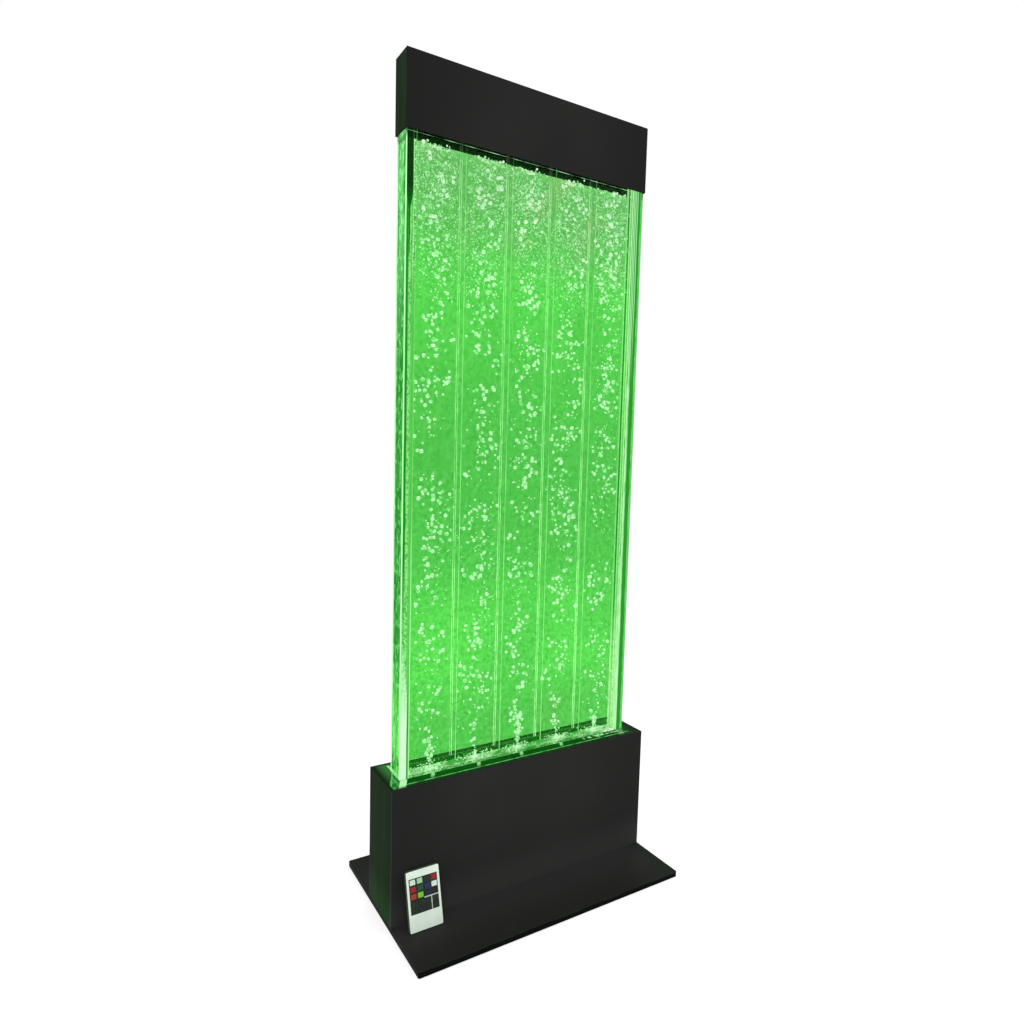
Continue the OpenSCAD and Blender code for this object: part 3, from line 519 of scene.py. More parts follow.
def left_lines(finish, z, off_end, body, grain, speckle):
    """The left bar: a dark line and froth under the cap, and pale from the foot upwards."""
    near = z.ramp(z_foot + 430, z_foot + 250)
    faded = z.ramp(z_foot + 330, z_foot + 190)
    whiter = z.ramp(z_foot + 170, z_foot + 70)
    reach = z.ramp(z_foot + 240, z_foot + 110, 1.4, 11.4)
    pale = (off_end - reach).ramp(0.7, -0.7) * z.ramp(z_foot + 285, z_foot + 200)
    pale = pale * (whiter * 0.5 + 0.5).most(speckle.ramp(0.42, 0.56))
    pale_tone = whiter.mix(grain.mix((0.26, 0.80, 0.24), (0.52, 0.94, 0.48)),
                           grain.mix((0.60, 0.95, 0.60), (0.70, 0.98, 0.70)))
    half_width = z.ramp(z_head - 104, z_head - 74, 0.9, 4.9)
    dark = ((off_end - 6.6).size() - half_width).ramp(0.7, -0.5)
    dark = dark * z.ramp(z_head - 175, z_head - 140)
    dark_tone = z.ramp(z_head - 100, z_head - 60).mix((0.003, 0.10, 0.005), NIGHT)
    froth = z.ramp(z_head - 230, z_head - 150) * off_end.ramp(11.0, 12.2)
    froth_tone = finish.noise(640, 2).ramp(0.45, 0.57).mix((0.040, 0.33, 0.042), (0.40, 0.90, 0.36))
    return finish.paint(
        body, (near * speckle.ramp(0.40, 0.54) * 0.7, LIGHT),
        (off_end.ramp(9.5, 11.0) * 0.8, (0.088, 0.590, 0.076)),
        (off_end.band(2.2, 5.4) * (1 - faded * 0.85), DEEP),
        (off_end.band(6.2, 9.4) * speckle.ramp(0.44, 0.56, 0.2, 0.9), LIGHT),
        (off_end.band(12.8, 13.8) * 0.25, DEEP), (off_end.band(14.8, 16.5) * 0.35, LIGHT),
        (off_end.ramp(2.3, 1.5), CREAM), (froth, froth_tone), (dark, dark_tone),
        (froth * off_end.band(11.9, 12.7, 0.3) * 0.8, CREAM),
        (z.ramp(z_head - 11, z_head - 9) * froth, NIGHT), (pale, pale_tone),
        (off_end.band(11.9, 13.4) * z.ramp(z_foot + 160, z_foot + 60), DEEP),
        (off_end.band(14.4, 15.8, 0.3) * near * 0.8, CREAM))


def right_lines(finish, z, off_end, body, grain):
    """The right bar: a dark line beside pale ones, and three upright lines under the cap."""
    upright = [(off_end.band(middle - 0.7, middle + 0.7, 0.3), (0.46, 0.90, 0.44))
               for middle in (6.6, 10.3, 13.6)]
    high = off_end.band(5.0, 16.5) * z.ramp(z_head - 330, z_head - 160)
    low = z.ramp(z_foot + 330, z_foot + 90) * off_end.ramp(8.6, 9.8)
    return finish.paint(
        body, (grain * 0.75, (0.50, 0.84, 0.50)),
        (off_end.band(1.1, 9.2, 0.6), (0.022, 0.28, 0.022)),
        (off_end.band(11.4, 13.4), CREAM), (off_end.band(9.6, 10.6) * 0.6, LIGHT),
        (high * 0.85, finish.paint((0.05, 0.38, 0.06), *upright)),
        (low, grain.mix((0.35, 0.88, 0.33), WHITE_GREEN)))


def bar_front(finish, x, z):
    """The lines on a bar's front and back, by the distance from the tank's end."""
    wander = finish.noise(9, 1, (0, 0, 1))
    off_end = tank_end - x.size() + (wander - 0.5) * 2
    grain = finish.noise(500, 2, (1, 1, 0.10)).ramp(0.36, 0.64)
    speckle = finish.noise(360, 2, (1, 1, 0.7))
    body = finish.paint(grain.mix((0.058, 0.37, 0.056), (0.19, 0.63, 0.17)),
                        (speckle.ramp(0.52, 0.62) * 0.45, LIGHT),
                        (speckle.ramp(0.46, 0.38) * 0.5, (0.03, 0.33, 0.03)))
    return x.above(0).mix(left_lines(finish, z, off_end, body, grain, speckle),
                          right_lines(finish, z, off_end, body, grain))


print("a bar is %.1f mm wide" % (tank_end - cell_end))

# %% The ends and inner faces of the side bars


def bar_end(finish, y, z):
    """The streaks on the tank's end, by the depth: pale at the corners, deep green between."""
    streak = finish.noise(260, 2, (0.31, 1, 0.04)).ramp(0.42, 0.58)
    mottle = finish.noise(210, 2, (0.31, 1, 0.5)).ramp(0.50, 0.58)
    dull_patches = finish.noise(190, 2, (0.17, 1.2, 0.35)).ramp(0.50, 0.42)
    glints = finish.spots(120, (1, 1, 0.6)).ramp(0.16, 0.09)
    high = z.ramp(z_head - 340, z_head - 80) * y.size().ramp(10, 5)
    low = z.ramp(z_foot + 210, z_foot + 60)
    return finish.paint(
        streak.mix((0.026, 0.30, 0.032), (0.075, 0.50, 0.078)),
        (mottle * 0.9, (0.17, 0.76, 0.17)), (dull_patches * 0.9, (0.003, 0.20, 0.008)),
        (y.band(2.5, 7.5, 1.2) * 0.75, (0.012, 0.25, 0.016)),
        (y.band(-7.0, -4.2, 0.8) * 0.5, (0.020, 0.28, 0.022)),
        (y.ramp(11.0, 13.5), (0.30, 0.80, 0.30)),
        ((y * -1).ramp(tank_face - 3.2, tank_face - 2.4), CREAM),
        (high * mottle.mix((0.42,) * 3, (0.95,) * 3), (0.27, 0.86, 0.27)),
        (low * 0.85, ((streak + mottle) * 0.5).mix((0.06, 0.58, 0.06), (0.27, 0.97, 0.21))),
        (glints * mottle, WHITE_GREEN),
        (z.ramp(z_foot + 44, z_foot + 16) * dull_patches, (0.010, 0.16, 0.014)),
        (z.ramp(z_foot + 8, z_foot + 4), mottle.mix((0.17, 0.70, 0.18), (0.42, 0.98, 0.43))),
        (z.band(z_head - 13, z_head - 6, 2) * (0.4 + 0.6 * mottle), (0.003, 0.09, 0.005)))


def bar_inside(finish, y, z):
    """The lines on a bar's inner face, seen through the water, by the depth."""
    streak = finish.noise(300, 2, (1, 1, 0.03)).ramp(0.35, 0.65)
    forward = y * -1
    return finish.paint(
        streak.mix(lit((0.15, 0.55, 0.14)), lit((0.11, 0.60, 0.10))),
        (forward.ramp(10.0, 11.0), lit(CREAM)), (forward.band(1.2, 4.6), lit(LIGHT)),
        (forward.band(-5.6, 0.4), lit(DEEP)), (forward.band(-8.8, -6.6), lit(LIGHT)),
        (z.ramp(z_foot + 250, z_foot + 60) * 0.55, lit(CREAM)),
        (y.size().above(bar_depth - 0.4), LIGHT))


def clear_bar():
    """A side bar: bright and dark upright lines on its front, its end and its inner face."""
    finish = Finish("clear side bar", roughness=0.12, ior=1.49, specular_ior_level=0.006,
                    specular_tint=(0.05, 0.8, 0.06), emission_strength=BAR_GLOW)
    x, y, z = finish.axes()
    tone = x.size().above(tank_end - 0.3).mix(bar_front(finish, x, z), bar_end(finish, y, z))
    tone = x.size().below(cell_end + 0.3).mix(tone, bar_inside(finish, y, z))
    return finish.feed(base_color=finish.mix(0.9, tone, (0, 0.01, 0)),
                       emission_color=finish.mix(1 - 1 / BAR_GLOW, tone, (0, 0, 0)))


dress(clear_bar(), "tank_side_bars")

# %% [markdown]
# A divider stands in the water, where clear acrylic hardly shows. What is seen is the light that
# leaves its front edge and the rear of its left side, as two thin lines that come and go with the
# height. The floor block lies over the LEDs, and its rough upper face glitters, most of all near
# the nozzles and the tank's ends.

# %% Dividers


def clear_divider():
    """A divider: thin bright lines along its front and back, sides that hardly show."""
    finish = Finish("clear divider", roughness=0.05, ior=1.49, specular_ior_level=0.0,
                    emission_strength=1.0, base_color=(0.03, 0.2, 0.03))
    x, y, z = finish.axes()
    edge_y = divider_high.y / MM
    off_middle = off_divider(x.size())
    on_edge = y.size().above(edge_y - 0.1)
    on_left = (1 - on_edge) * finish.facing()[0].below(0)
    patchy = finish.noise(24, 3, (20, 0.5, 1)).ramp(0.36, 0.56, 0.45, 1)
    height = z.ramp(z_head - 100, z_foot + 200, 0.65, 1) * z.ramp(z_head - 8, z_head - 16, 0.15, 1)
    line = (off_middle - 0.2).size().ramp(0.62, 0.38)
    shade = (off_middle + 1.0).size().ramp(0.55, 0.30)
    shade = shade * finish.noise(8, 1, (20, 0, 1)).ramp(0.50, 0.58)
    strip = y.ramp(edge_y - 3.6, edge_y - 3.2)
    shown = (y.below(0.1 - edge_y) * (line * patchy * height).most(shade * 0.8)
             + on_left * (strip * patchy * height))
    return finish.feed(alpha=shown * 0.95, emission_color=finish.paint(
        lit((0.40, 0.97, 0.34)), (on_edge, (0.36, 0.94, 0.31)), (shade * on_edge, DEEP)))


dress(clear_divider(), "tank_dividers")

# %% Floor block and LEDs


def lit_floor():
    """The floor block: clear acrylic over the lights, a bright uneven field of glints."""
    strength = 1.9
    finish = Finish("lit floor block", roughness=0.35, specular_ior_level=0.2,
                    emission_strength=strength, base_color=(0.01, 0.08, 0.01))
    x = finish.axes()[0]
    fine, coarse = finish.noise(420, 3), finish.noise(46, 2)
    glint = fine.ramp(0.44, 0.58) * coarse.ramp(0.40, 0.60, 0.10, 1)
    near_end = x.size().ramp(cell_end - 70, cell_end - 10, 0, 0.8)
    near_air = off_divider(x.size() + pitch / 2).size().ramp(16, 6) * 0.5
    glint = (glint + (near_end * 0.6 + near_air) * fine.ramp(0.38, 0.54)).least(1)
    room = glint.mix(lit((0.01, 0.30, 0.01), strength, False),
                     lit((0.40, 0.93, 0.36), strength, False))
    wet = glint.mix(lit((0.01, 0.27, 0.01), strength), lit((0.56, 0.97, 0.52), strength))
    return finish.feed(emission_color=finish.facing()[2].above(0.5).mix(room, wet))


def led_strip():
    """The LEDs on their strips: a white board with the chips' green light painted on it, bright
    green chips.
    """
    finish = Finish("LED strip", roughness=0.3, emission_strength=2.0)
    chip = finish.axes()[2].above(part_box("led_strips")[1].z / MM - 0.3)
    green = finish.noise(900, 1).mix((0.35, 1.0, 0.30), (0.50, 1.0, 0.45))
    # The board's green emission is painted light from the chips.
    return finish.feed(base_color=chip.mix((0.75, 0.78, 0.74), green),
                       emission_color=chip.mix((0.05, 0.3, 0.05), green))


dress(lit_floor(), "tank_floor")
dress(led_strip(), "led_strips")

# %% [markdown]
# ## The water
# The water fills the tank from the floor block to a level hidden by the cap. It is one closed body
# that bends the light. It wets the floor and the bars, so it reaches a hair into them, or each
# would hide behind a mirror of trapped air; at the sheets it stops a hair short. The tank's green
# light is painted into it as the colour that light gets on its way through, so the white room
# behind shows as a bright green field and the black plinth behind as a dark green band. The painted
# field isn't even: it is brightest low down over the lights, dims towards the middle, and turns
# paler in the froth.

# %% The water's finish
BRIGHT_GREEN = (0.118, 0.830, 0.090)
UPPER_GREEN = (0.122, 0.850, 0.096)
UPPER_FROM, UPPER_TO = 640, 960
FROTH_GREEN = (0.160, 0.560, 0.138)
FROTH_GREY = (0.300, 0.560, 0.200)


def water_finish():
    """Painted green light in clear water, as a tint by the height, with slow clouds and a fine
    mottle.
    """
    finish = Finish("lit water", roughness=0.0, ior=1.33, transmission_weight=1.0,
                    specular_tint=(0.10, 0.90, 0.12))
    x, y, z = finish.axes()
    cloud = finish.noise(7, 2, (1, 0.3, 0.55))
    mottle = finish.noise(190, 2, (1, 0.3, 0.8))
    upper = z.ramp(UPPER_FROM, UPPER_TO) * cloud.ramp(0.38, 0.60, 0.45, 1)
    low = z.band(z_foot + 105, z_foot + 260, 55) * cloud.ramp(0.34, 0.56, 0.35, 1)
    froth = z.ramp(z_head - 190, z_head - 50)
    grey = finish.noise(16, 2, (1, 0, 1)).ramp(0.50, 0.60) * froth
    # Duller patches of the painted tint, low down by the plinth's top.
    dull_patches = z.band(z_foot - 20, z_foot + 80, 15) * cloud.ramp(0.50, 0.62) * 0.4
    return finish.feed(base_color=finish.paint(
        WATER_GREEN, (upper, UPPER_GREEN), (low, BRIGHT_GREEN), (froth, FROTH_GREEN),
        (grey * 0.6, FROTH_GREY), (dull_patches, (0.17, 0.50, 0.10)),
        (mottle.ramp(0.50, 0.40, 0, 0.42), (0.04, 0.40, 0.035)),
        (mottle.ramp(0.52, 0.62, 0, 0.30), (0.20, 0.80, 0.17))))


water_look = water_finish().material
print("materials so far:", len(bpy.data.materials))

# %% Water body
WATER_GAP = 0.15 * MM
WET = 0.08 * MM
WATER_TOP = cap_low.z + 52 * MM
RIPPLE = 0.9 * MM
TOP_CUTS = 180, 12


def mesh_piece(name, build, material, smooth=False):
    """A mesh object from a bmesh that build() fills, with one material."""
    shape = bmesh.new()
    build(shape)
    bmesh.ops.recalc_face_normals(shape, faces=shape.faces)
    mesh = bpy.data.meshes.new(name)
    shape.to_mesh(mesh)
    shape.free()
    mesh.materials.append(material)
    for face in mesh.polygons:
        face.use_smooth = smooth
    return place(name, mesh)


def fill_water(shape):
    """A box with a rippled top, cut finely along its top face only."""
    low = Vector((floor_low.x - WET, sheet_high.y + WATER_GAP, floor_high.z - WET))
    high = Vector((floor_high.x + WET, back_low.y - WATER_GAP, WATER_TOP))
    across, deep = TOP_CUTS

    def ripple(i, j):
        return high.z + RIPPLE * math.sin(i * 0.83) * math.cos(j * 0.9 + i * 0.31)

    top = [[shape.verts.new((low.x + (high.x - low.x) * i / across,
                             low.y + (high.y - low.y) * j / deep, ripple(i, j)))
            for j in range(deep + 1)] for i in range(across + 1)]
    for i in range(across):
        for j in range(deep):
            shape.faces.new((top[i][j], top[i + 1][j], top[i + 1][j + 1], top[i][j + 1]))
    corners = [shape.verts.new((x, y, low.z)) for x, y in
               ((low.x, low.y), (high.x, low.y), (high.x, high.y), (low.x, high.y))]
    shape.faces.new(corners[::-1])
    front = [top[i][0] for i in range(across + 1)]
    back = [top[i][deep] for i in range(across + 1)]
    shape.faces.new([corners[0], corners[1]] + front[::-1])
    shape.faces.new([corners[2], corners[3]] + back)
    shape.faces.new([corners[3], corners[0]] + top[0])
    shape.faces.new([corners[1], corners[2]] + top[across][::-1])


water = mesh_piece("water", fill_water, water_look)
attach(water, "stand")
print("water level above the floor in mm: %.0f" % (WATER_TOP / MM))

# %% [markdown]
# ## Bubbles
# Each nozzle lets out air in bursts. A bubble is pressed flat and staggers from side to side as it
# rises, and bursts gather in loose clumps. A Geometry Nodes tree scatters the points: the clump's
# number gives its height and its place across, a second random number spreads the bubbles inside
# it, and the stream sways with the height and widens from the nozzle upwards. One small round
# shape with few faces is then set on each point.

# %% The bubble tree


class Stream(Tree):
    """A Geometry Nodes tree with named inputs, given as titles under their kind."""

    def __init__(self, name, **inputs):
        group = bpy.data.node_groups.new(name, "GeometryNodeTree")
        group.interface.new_socket("Geometry", in_out="OUTPUT", socket_type="NodeSocketGeometry")
        for kind, titles in inputs.items():
            for title in titles:
                group.interface.new_socket(title, in_out="INPUT", socket_type="NodeSocket" + kind)
        super().__init__(group)
        self.start = self.add("NodeGroupInput", {}, {})

    def given(self, title):
        return self.start.other(title)

    def chance(self, low, high, number, salt):
        """A random number from low to high, the same for the same number and salt."""
        seed = self.add("FunctionNodeIntegerMath", {"operation": "ADD"},
                        {0: self.given("Seed"), 1: salt})
        return self.add("FunctionNodeRandomValue", {"data_type": "FLOAT"},
                        {2: low, 3: high, "ID": number, "Seed": seed}, 1)

    def vector(self, x, y, z):
        return self.add("ShaderNodeCombineXYZ", {}, {0: x, 1: y, 2: z})


# %% Bubbles along a stream


def bubble_stream():
    """Scatters bubbles along one upright stream."""
    tree = Stream("bubble stream", Int=("Count", "Seed", "Clump", "Sides", "Rings"),
                  Float=("Middle X", "Spread X", "Spread Y", "Low Z", "High Z", "Crowding",
                         "Clump Height", "Smallest", "Largest", "Small Share", "Widening",
                         "Scatter"), Material=("Material",))
    given = tree.given
    index = tree.add("GeometryNodeInputIndex", {}, {})
    clump = (index / given("Clump")).floor()
    reach = given("High Z") - given("Low Z")
    height = (tree.chance(0.0, 1.0, clump, 1) ** given("Crowding") * reach
              + tree.chance(-1.0, 1.0, index, 2) * given("Clump Height")).most(0.0).least(reach)
    width = (height / given("Widening") + 0.12).least(1.0)
    sway = (height * 21.0 + given("Middle X") * 40.0).wave() * 0.10
    offset = (tree.chance(-1.0, 1.0, clump, 3) * (1 - given("Scatter"))
              + tree.chance(-1.0, 1.0, index, 4) * given("Scatter"))
    across = (sway + offset).most(-1.0).least(1.0) * given("Spread X") * width + given("Middle X")
    deep = tree.chance(-1.0, 1.0, index, 5) * given("Spread Y") * width
    spot = tree.vector(across, deep, height + given("Low Z"))
    points = tree.add("GeometryNodePoints", {}, {"Count": given("Count"), "Position": spot})
    radius = (tree.chance(0.0, 1.0, index, 6) ** given("Small Share")
              * (given("Largest") - given("Smallest")) + given("Smallest"))
    scale = tree.vector(radius, radius, radius * tree.chance(0.70, 0.98, index, 7))
    tilt = tree.vector(tree.chance(-0.5, 0.5, index, 8), tree.chance(-0.5, 0.5, index, 9), 0.0)
    ball = tree.add("GeometryNodeMeshUVSphere", {},
                    {"Segments": given("Sides"), "Rings": given("Rings"), "Radius": 1.0})
    placed = tree.add("GeometryNodeInstanceOnPoints", {},
                      {"Points": points, "Instance": ball, "Rotation": tilt, "Scale": scale})
    solid = tree.add("GeometryNodeRealizeInstances", {}, {0: placed})
    smooth = tree.add("GeometryNodeSetShadeSmooth", {}, {0: solid})
    done = tree.add("GeometryNodeSetMaterial", {}, {0: smooth, "Material": given("Material")})
    tree.add("NodeGroupOutput", {}, {0: done})
    return tree.tree


# %% [markdown]
# A modifier is only a recipe. The finished piece is the mesh that it gives, copied into a plain
# object, and the holder of the modifier is removed.

# %% From the tree to a mesh


def grow(name, group, material, **values):
    """Runs a tree with these inputs and returns the result as a plain mesh object."""
    holder = place(name + " maker", bpy.data.meshes.new(name + " maker"))
    modifier = holder.modifiers.new("stream", "NODES")
    modifier.node_group = group
    wanted = {title.replace("_", " ").title(): value for title, value in values.items()}
    wanted["Material"] = material
    for item in group.interface.items_tree:
        if item.item_type == "SOCKET" and item.in_out == "INPUT":
            modifier[item.identifier] = wanted[item.name]
    graph = bpy.context.evaluated_depsgraph_get()
    mesh = bpy.data.meshes.new_from_object(holder.evaluated_get(graph), depsgraph=graph)
    mesh.name = name
    if not mesh.materials:
        mesh.materials.append(material)
    bpy.data.objects.remove(holder)
    return place(name, mesh)


# %% [markdown]
# Air in lit water looks nearly white: each bubble gathers the light from below. It is brightest at
# its lower and upper rim and greener across its middle, and some bubbles are dimmer than others.
# That is set by how far the surface faces up or down and by a noise about as coarse as a bubble.

# %% The look of air


def bubble_finish(name, red, green):
    """Air lit from below: bright rims, a greener waist, and its own strength for each bubble."""
    strength = 2.0
    finish = Finish(name, roughness=0.6, specular_ior_level=0.1, base_color=(0, 0.03, 0),
                    emission_strength=strength)
    own = finish.noise(150, 1).ramp(0.34, 0.56)
    rim = finish.facing()[2].size().ramp(0.05, 0.55)
    dim, bright, waist = (lit((red * pale, green * strong, red * pale * 0.95), strength)
                          for pale, strong in ((0.32, 0.77), (1.0, 1.0), (0.55, 0.91)))
    return finish.feed(emission_color=own.mix(dim, rim.mix(waist, bright)))


clear_air = bubble_finish("air bubble", 0.62, 0.99).material
froth_air = bubble_finish("froth", 0.35, 0.88).material
print("materials so far:", len(bpy.data.materials))

# %% [markdown]
# Seven kinds of air fill each cell: the burst right over the nozzle, the large bubbles of the
# stream, the fine ones beside them, the spray that drifts low over the floor, the froth that
# gathers near the top, a few large blobs along the clear band under the cap, and the foam below
# the water's surface, which shows when the cap is lifted. A table gives the inputs of each kind,
# the last five of them in millimetres.

# %% Kinds of air
STREAM_FACTS = ("count", "clump", "sides", "rings", "low_z", "high_z", "crowding", "small_share",
                "scatter", "room", "clump_height", "smallest", "largest", "widening")
IN_MM = STREAM_FACTS[-5:]
CALM_BAND, WALL_GAP = 9 * MM, 0.4 * MM
nozzle, calm = nozzle_high.z, cap_low.z - CALM_BAND
STREAM_KINDS = {
    "nozzle_burst": (26, 3, 8, 6, nozzle + 1 * MM, nozzle + 15 * MM, 1.5, 1.3, 0.4,
                     27, 3, 0.8, 2.0, 30),
    "rising_bubbles": (300, 4, 10, 7, nozzle + 8 * MM, calm, 0.97, 1.0, 0.38,
                       2.5, 15, 1.6, 3.5, 90),
    "fine_bubbles": (210, 6, 6, 5, nozzle + 4 * MM, calm, 0.85, 1.0, 0.5,
                     0.5, 30, 0.9, 1.5, 60),
    "floor_spray": (110, 3, 6, 4, nozzle - 1.5 * MM, nozzle + 4 * MM, 2.0, 1.5, 0.5,
                    1, 1, 0.6, 1.5, 1),
    "top_blobs": (20, 2, 8, 6, calm - 1 * MM, cap_low.z - 2 * MM, 3.0, 1.0, 0.2,
                  4, 1, 0.8, 2.3, 1),
    "surface_foam": (150, 2, 6, 4, cap_low.z + 17 * MM, WATER_TOP - 4 * MM, 0.8, 1.2, 0.7,
                     1, 3, 0.9, 2.6, 1),
    "froth": (950, 3, 6, 4, cap_low.z - 210 * MM, calm, 0.62, 1.4, 0.9,
              0.3, 22, 0.7, 1.6, 10),
}
print("bubbles in a cell:", sum(row[0] for row in STREAM_KINDS.values()))

# %% Air in every cell
stream = bubble_stream()
wall_y = back_low.y - WALL_GAP
for number, middle in enumerate(cell_middles, 1):
    for kind, row in STREAM_KINDS.items():
        values = dict(zip(STREAM_FACTS, row))
        for name in IN_MM:
            values[name] *= MM
        room, largest = values.pop("room"), values["largest"]
        air = froth_air if kind in ("froth", "surface_foam") else clear_air
        piece = grow("%s_%d" % (kind, number), stream, air, seed=37 * number + len(kind),
                     middle_x=middle, spread_x=half_cell - room - largest,
                     spread_y=wall_y - largest, **values)
        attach(piece, "stand")
print("groups of bubbles:", len(STREAM_KINDS) * len(cell_middles))

# %% [markdown]
# ## Small works and fittings
# Metal, rubber and moulded plastic pieces fill the plinth and the back. Each gets the grain its
# making leaves: turned rings on the valve, sheen and pores on rubber, fine moulding texture on
# plastic, printed tracks on the circuit boards.

# %% Plastic, rubber and metal


def moulded(name, tone, rough=0.5, shine=0.4, grain=700):
    """Moulded plastic with a fine texture and slightly uneven colour."""
    finish = Finish(name, specular_ior_level=shine)
    other = tuple(min(1, c * 1.12 + 0.003) for c in tone)
    finish.feed(base_color=finish.noise(30).ramp(0.3, 0.7).mix(tone, other),
                roughness=finish.noise(240).ramp(0.3, 0.7, rough - 0.06, rough + 0.06))
    return finish.bump(finish.noise(grain), 0.10)


def metal(name, tone, rough=0.3, along=(1, 1, 0.05), lines=600):
    """Bare metal with a brushed or turned grain along one axis."""
    finish = Finish(name, metallic=1.0)
    grain = finish.noise(lines, along=along)
    duller = tuple(c * 0.78 for c in tone)
    finish.feed(base_color=grain.ramp(0.3, 0.7).mix(duller, tone),
                roughness=grain.ramp(0.3, 0.7, rough - 0.08, rough + 0.12))
    return finish.bump(grain, 0.12, 0.2 * MM)


def rubber(name, tone, rough=0.7):
    """Soft rubber: dull, with pores."""
    return moulded(name, tone, rough, 0.25, 1600)


steel = metal("brushed steel", (0.58, 0.58, 0.6))
aluminium = metal("drawn aluminium", (0.74, 0.75, 0.77), 0.35, (0.03, 1, 1))
valve_metal = metal("plated valve", (0.78, 0.78, 0.8), 0.18, (0.3, 3, 0.3), 300)
dark_plastic = moulded("dark moulded plastic", (0.018, 0.018, 0.019))
white_plastic = moulded("white moulded plastic", (0.70, 0.72, 0.70), 0.35)
black_rubber = rubber("black rubber", (0.02, 0.02, 0.02))
dress(steel, "base_screws", "pump_arm", "coin_cell")
dress(aluminium, "corner_posts", "led_channel")
dress(valve_metal, "drain_valve")
dress(dark_plastic, "pump_case", "pump_lid", "dc_inlet", "switch_housing")
dress(white_plastic, "air_manifold", "pump_chamber")
dress(black_rubber, "base_pads")
dress(rubber("lead insulation", (0.022, 0.022, 0.024), 0.5), "wiring")
dress(moulded("shelf board", (0.06, 0.06, 0.062), 0.6), "tank_shelf")
dress(moulded("rocker plastic", (0.014, 0.014, 0.014), 0.25), "switch_rocker")
dress(moulded("red dipped lever", (0.42, 0.014, 0.012), 0.3), "drain_lever")

# %% Hose, boards, coil and nozzles
COIL_HALF, COIL_FROM_LEFT, COIL_FROM_RIGHT = 9.9, 8.1, 2.9


def clear_hose():
    """Soft clear hose, lit a little by the tank."""
    finish = Finish("clear soft hose", roughness=0.2, specular_ior_level=0.5)
    ring = finish.noise(90, along=(1, 1, 3)).ramp(0.3, 0.7)
    return finish.feed(base_color=ring.mix((0.62, 0.75, 0.64), (0.78, 0.88, 0.8)),
                       alpha=0.5 + ring * 0.12)


def circuit():
    """A green circuit board with lighter tracks and pale solder pads."""
    finish = Finish("circuit board", specular_ior_level=0.5, roughness=0.35)
    track = finish.noise(300, along=(0.2, 1, 1)).ramp(0.5, 0.56)
    pad = finish.spots(240).ramp(0.18, 0.12) * 0.7
    return finish.feed(base_color=finish.paint(
        (0.010, 0.085, 0.028), (track, (0.03, 0.19, 0.06)), (pad, (0.55, 0.5, 0.36))))


def coil_finish():
    """Laminated steel in thin layers, and copper wire where the bobbin is."""
    finish = Finish("coil and core", metallic=0.9, roughness=0.4)
    x, y, z = finish.axes()
    low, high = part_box("pump_coil")
    wound = (y - (low.y + high.y) / 2 / MM).size().below(COIL_HALF)
    wound = wound * x.above(low.x / MM + COIL_FROM_LEFT)
    wound = wound * x.below(high.x / MM - COIL_FROM_RIGHT)
    layers = finish.noise(2200, 1, (0.02, 0.02, 1))
    turns = finish.noise(2600, 1, (1, 0.02, 0.02))
    return finish.feed(base_color=wound.mix(
        layers.mix((0.16, 0.16, 0.17), (0.5, 0.5, 0.52)),
        turns.mix((0.35, 0.12, 0.03), (0.95, 0.48, 0.2))))


def nozzle_finish():
    """Frosted nozzle heads that glow with the light beneath them."""
    strength = 2.4
    finish = Finish("lit nozzle", roughness=0.4, base_color=(0.05, 0.1, 0.05),
                    emission_strength=strength)
    return finish.feed(emission_color=finish.noise(900).ramp(0.40, 0.60).mix(
        lit((0.45, 0.90, 0.42), strength), lit((0.72, 0.99, 0.70), strength)))


dress(clear_hose(), "air_hoses", "drain_hose")
dress(circuit(), "control_board", "remote_board")
dress(coil_finish(), "pump_coil")
dress(nozzle_finish(), "air_nozzles")

# %% [markdown]
# ## The pump's bellows
# Inside the plinth the pump's swinging arm presses a small rubber bellows. Rubber gives way, which
# a rigid solid can't. Here the bellows is made as one folded shape and replaces the one in the
# frame.
# It is a turned shape: a ring of points for each step of the profile, which runs over the folds and
# the flange and back along the inside of the thin wall.

# %% Bellows
BELLOWS_SIDES, BELLOWS_WALL, NECK, FOLD, PRESSED = 40, 1.2 * MM, 0.6, 0.9, 0.9
FOLD_STEP, PLAIN_END, FLANGE, STEPS = 4 * MM, 2 * MM, 1 * MM, 30
bellows_low, bellows_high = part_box("pump_bellows")
bellows_middle = (bellows_low + bellows_high) / 2
flange_r = (bellows_high.z - bellows_low.z) / 2


def bellows_profile():
    """Steps of (x, radius) from the closed end over the folds, and back along the inside."""
    length = bellows_high.x - bellows_low.x
    outer = []
    for i in range(STEPS + 1):
        x = (length - FLANGE) * i / STEPS
        folded = 0.5 - 0.5 * math.cos(math.tau * max(0, x - PLAIN_END) / FOLD_STEP)
        outer.append((x, flange_r * (NECK + (FOLD - NECK) * folded)))
    inner = [(x, r - BELLOWS_WALL) for x, r in outer[::-1] if x > PLAIN_END + BELLOWS_WALL]
    rim = [(length - FLANGE, flange_r), (length, flange_r), (length, inner[0][1])]
    return [(0, 0)] + outer + rim + inner + [(inner[-1][0], 0)]


def turn_bellows(shape):
    rings = []
    for x, r in bellows_profile():
        turns = [math.tau * i / BELLOWS_SIDES for i in range(BELLOWS_SIDES if r else 1)]
        rings.append([shape.verts.new((bellows_low.x + x, bellows_middle.y + r * math.cos(turn),
                                       bellows_middle.z + r * math.sin(turn))) for turn in turns])
    for one, two in zip(rings, rings[1:]):
        for i in range(BELLOWS_SIDES):
            corners = [one[i % len(one)], one[(i + 1) % len(one)],
                       two[(i + 1) % len(two)], two[i % len(two)]]
            shape.faces.new(list(dict.fromkeys(corners)))


bellows = mesh_piece("folded_bellows", turn_bellows, black_rubber.material, smooth=True)
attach(bellows, "stand")
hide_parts("pump_bellows")
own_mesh(bellows)
print("faces of the bellows:", len(bellows.data.polygons))
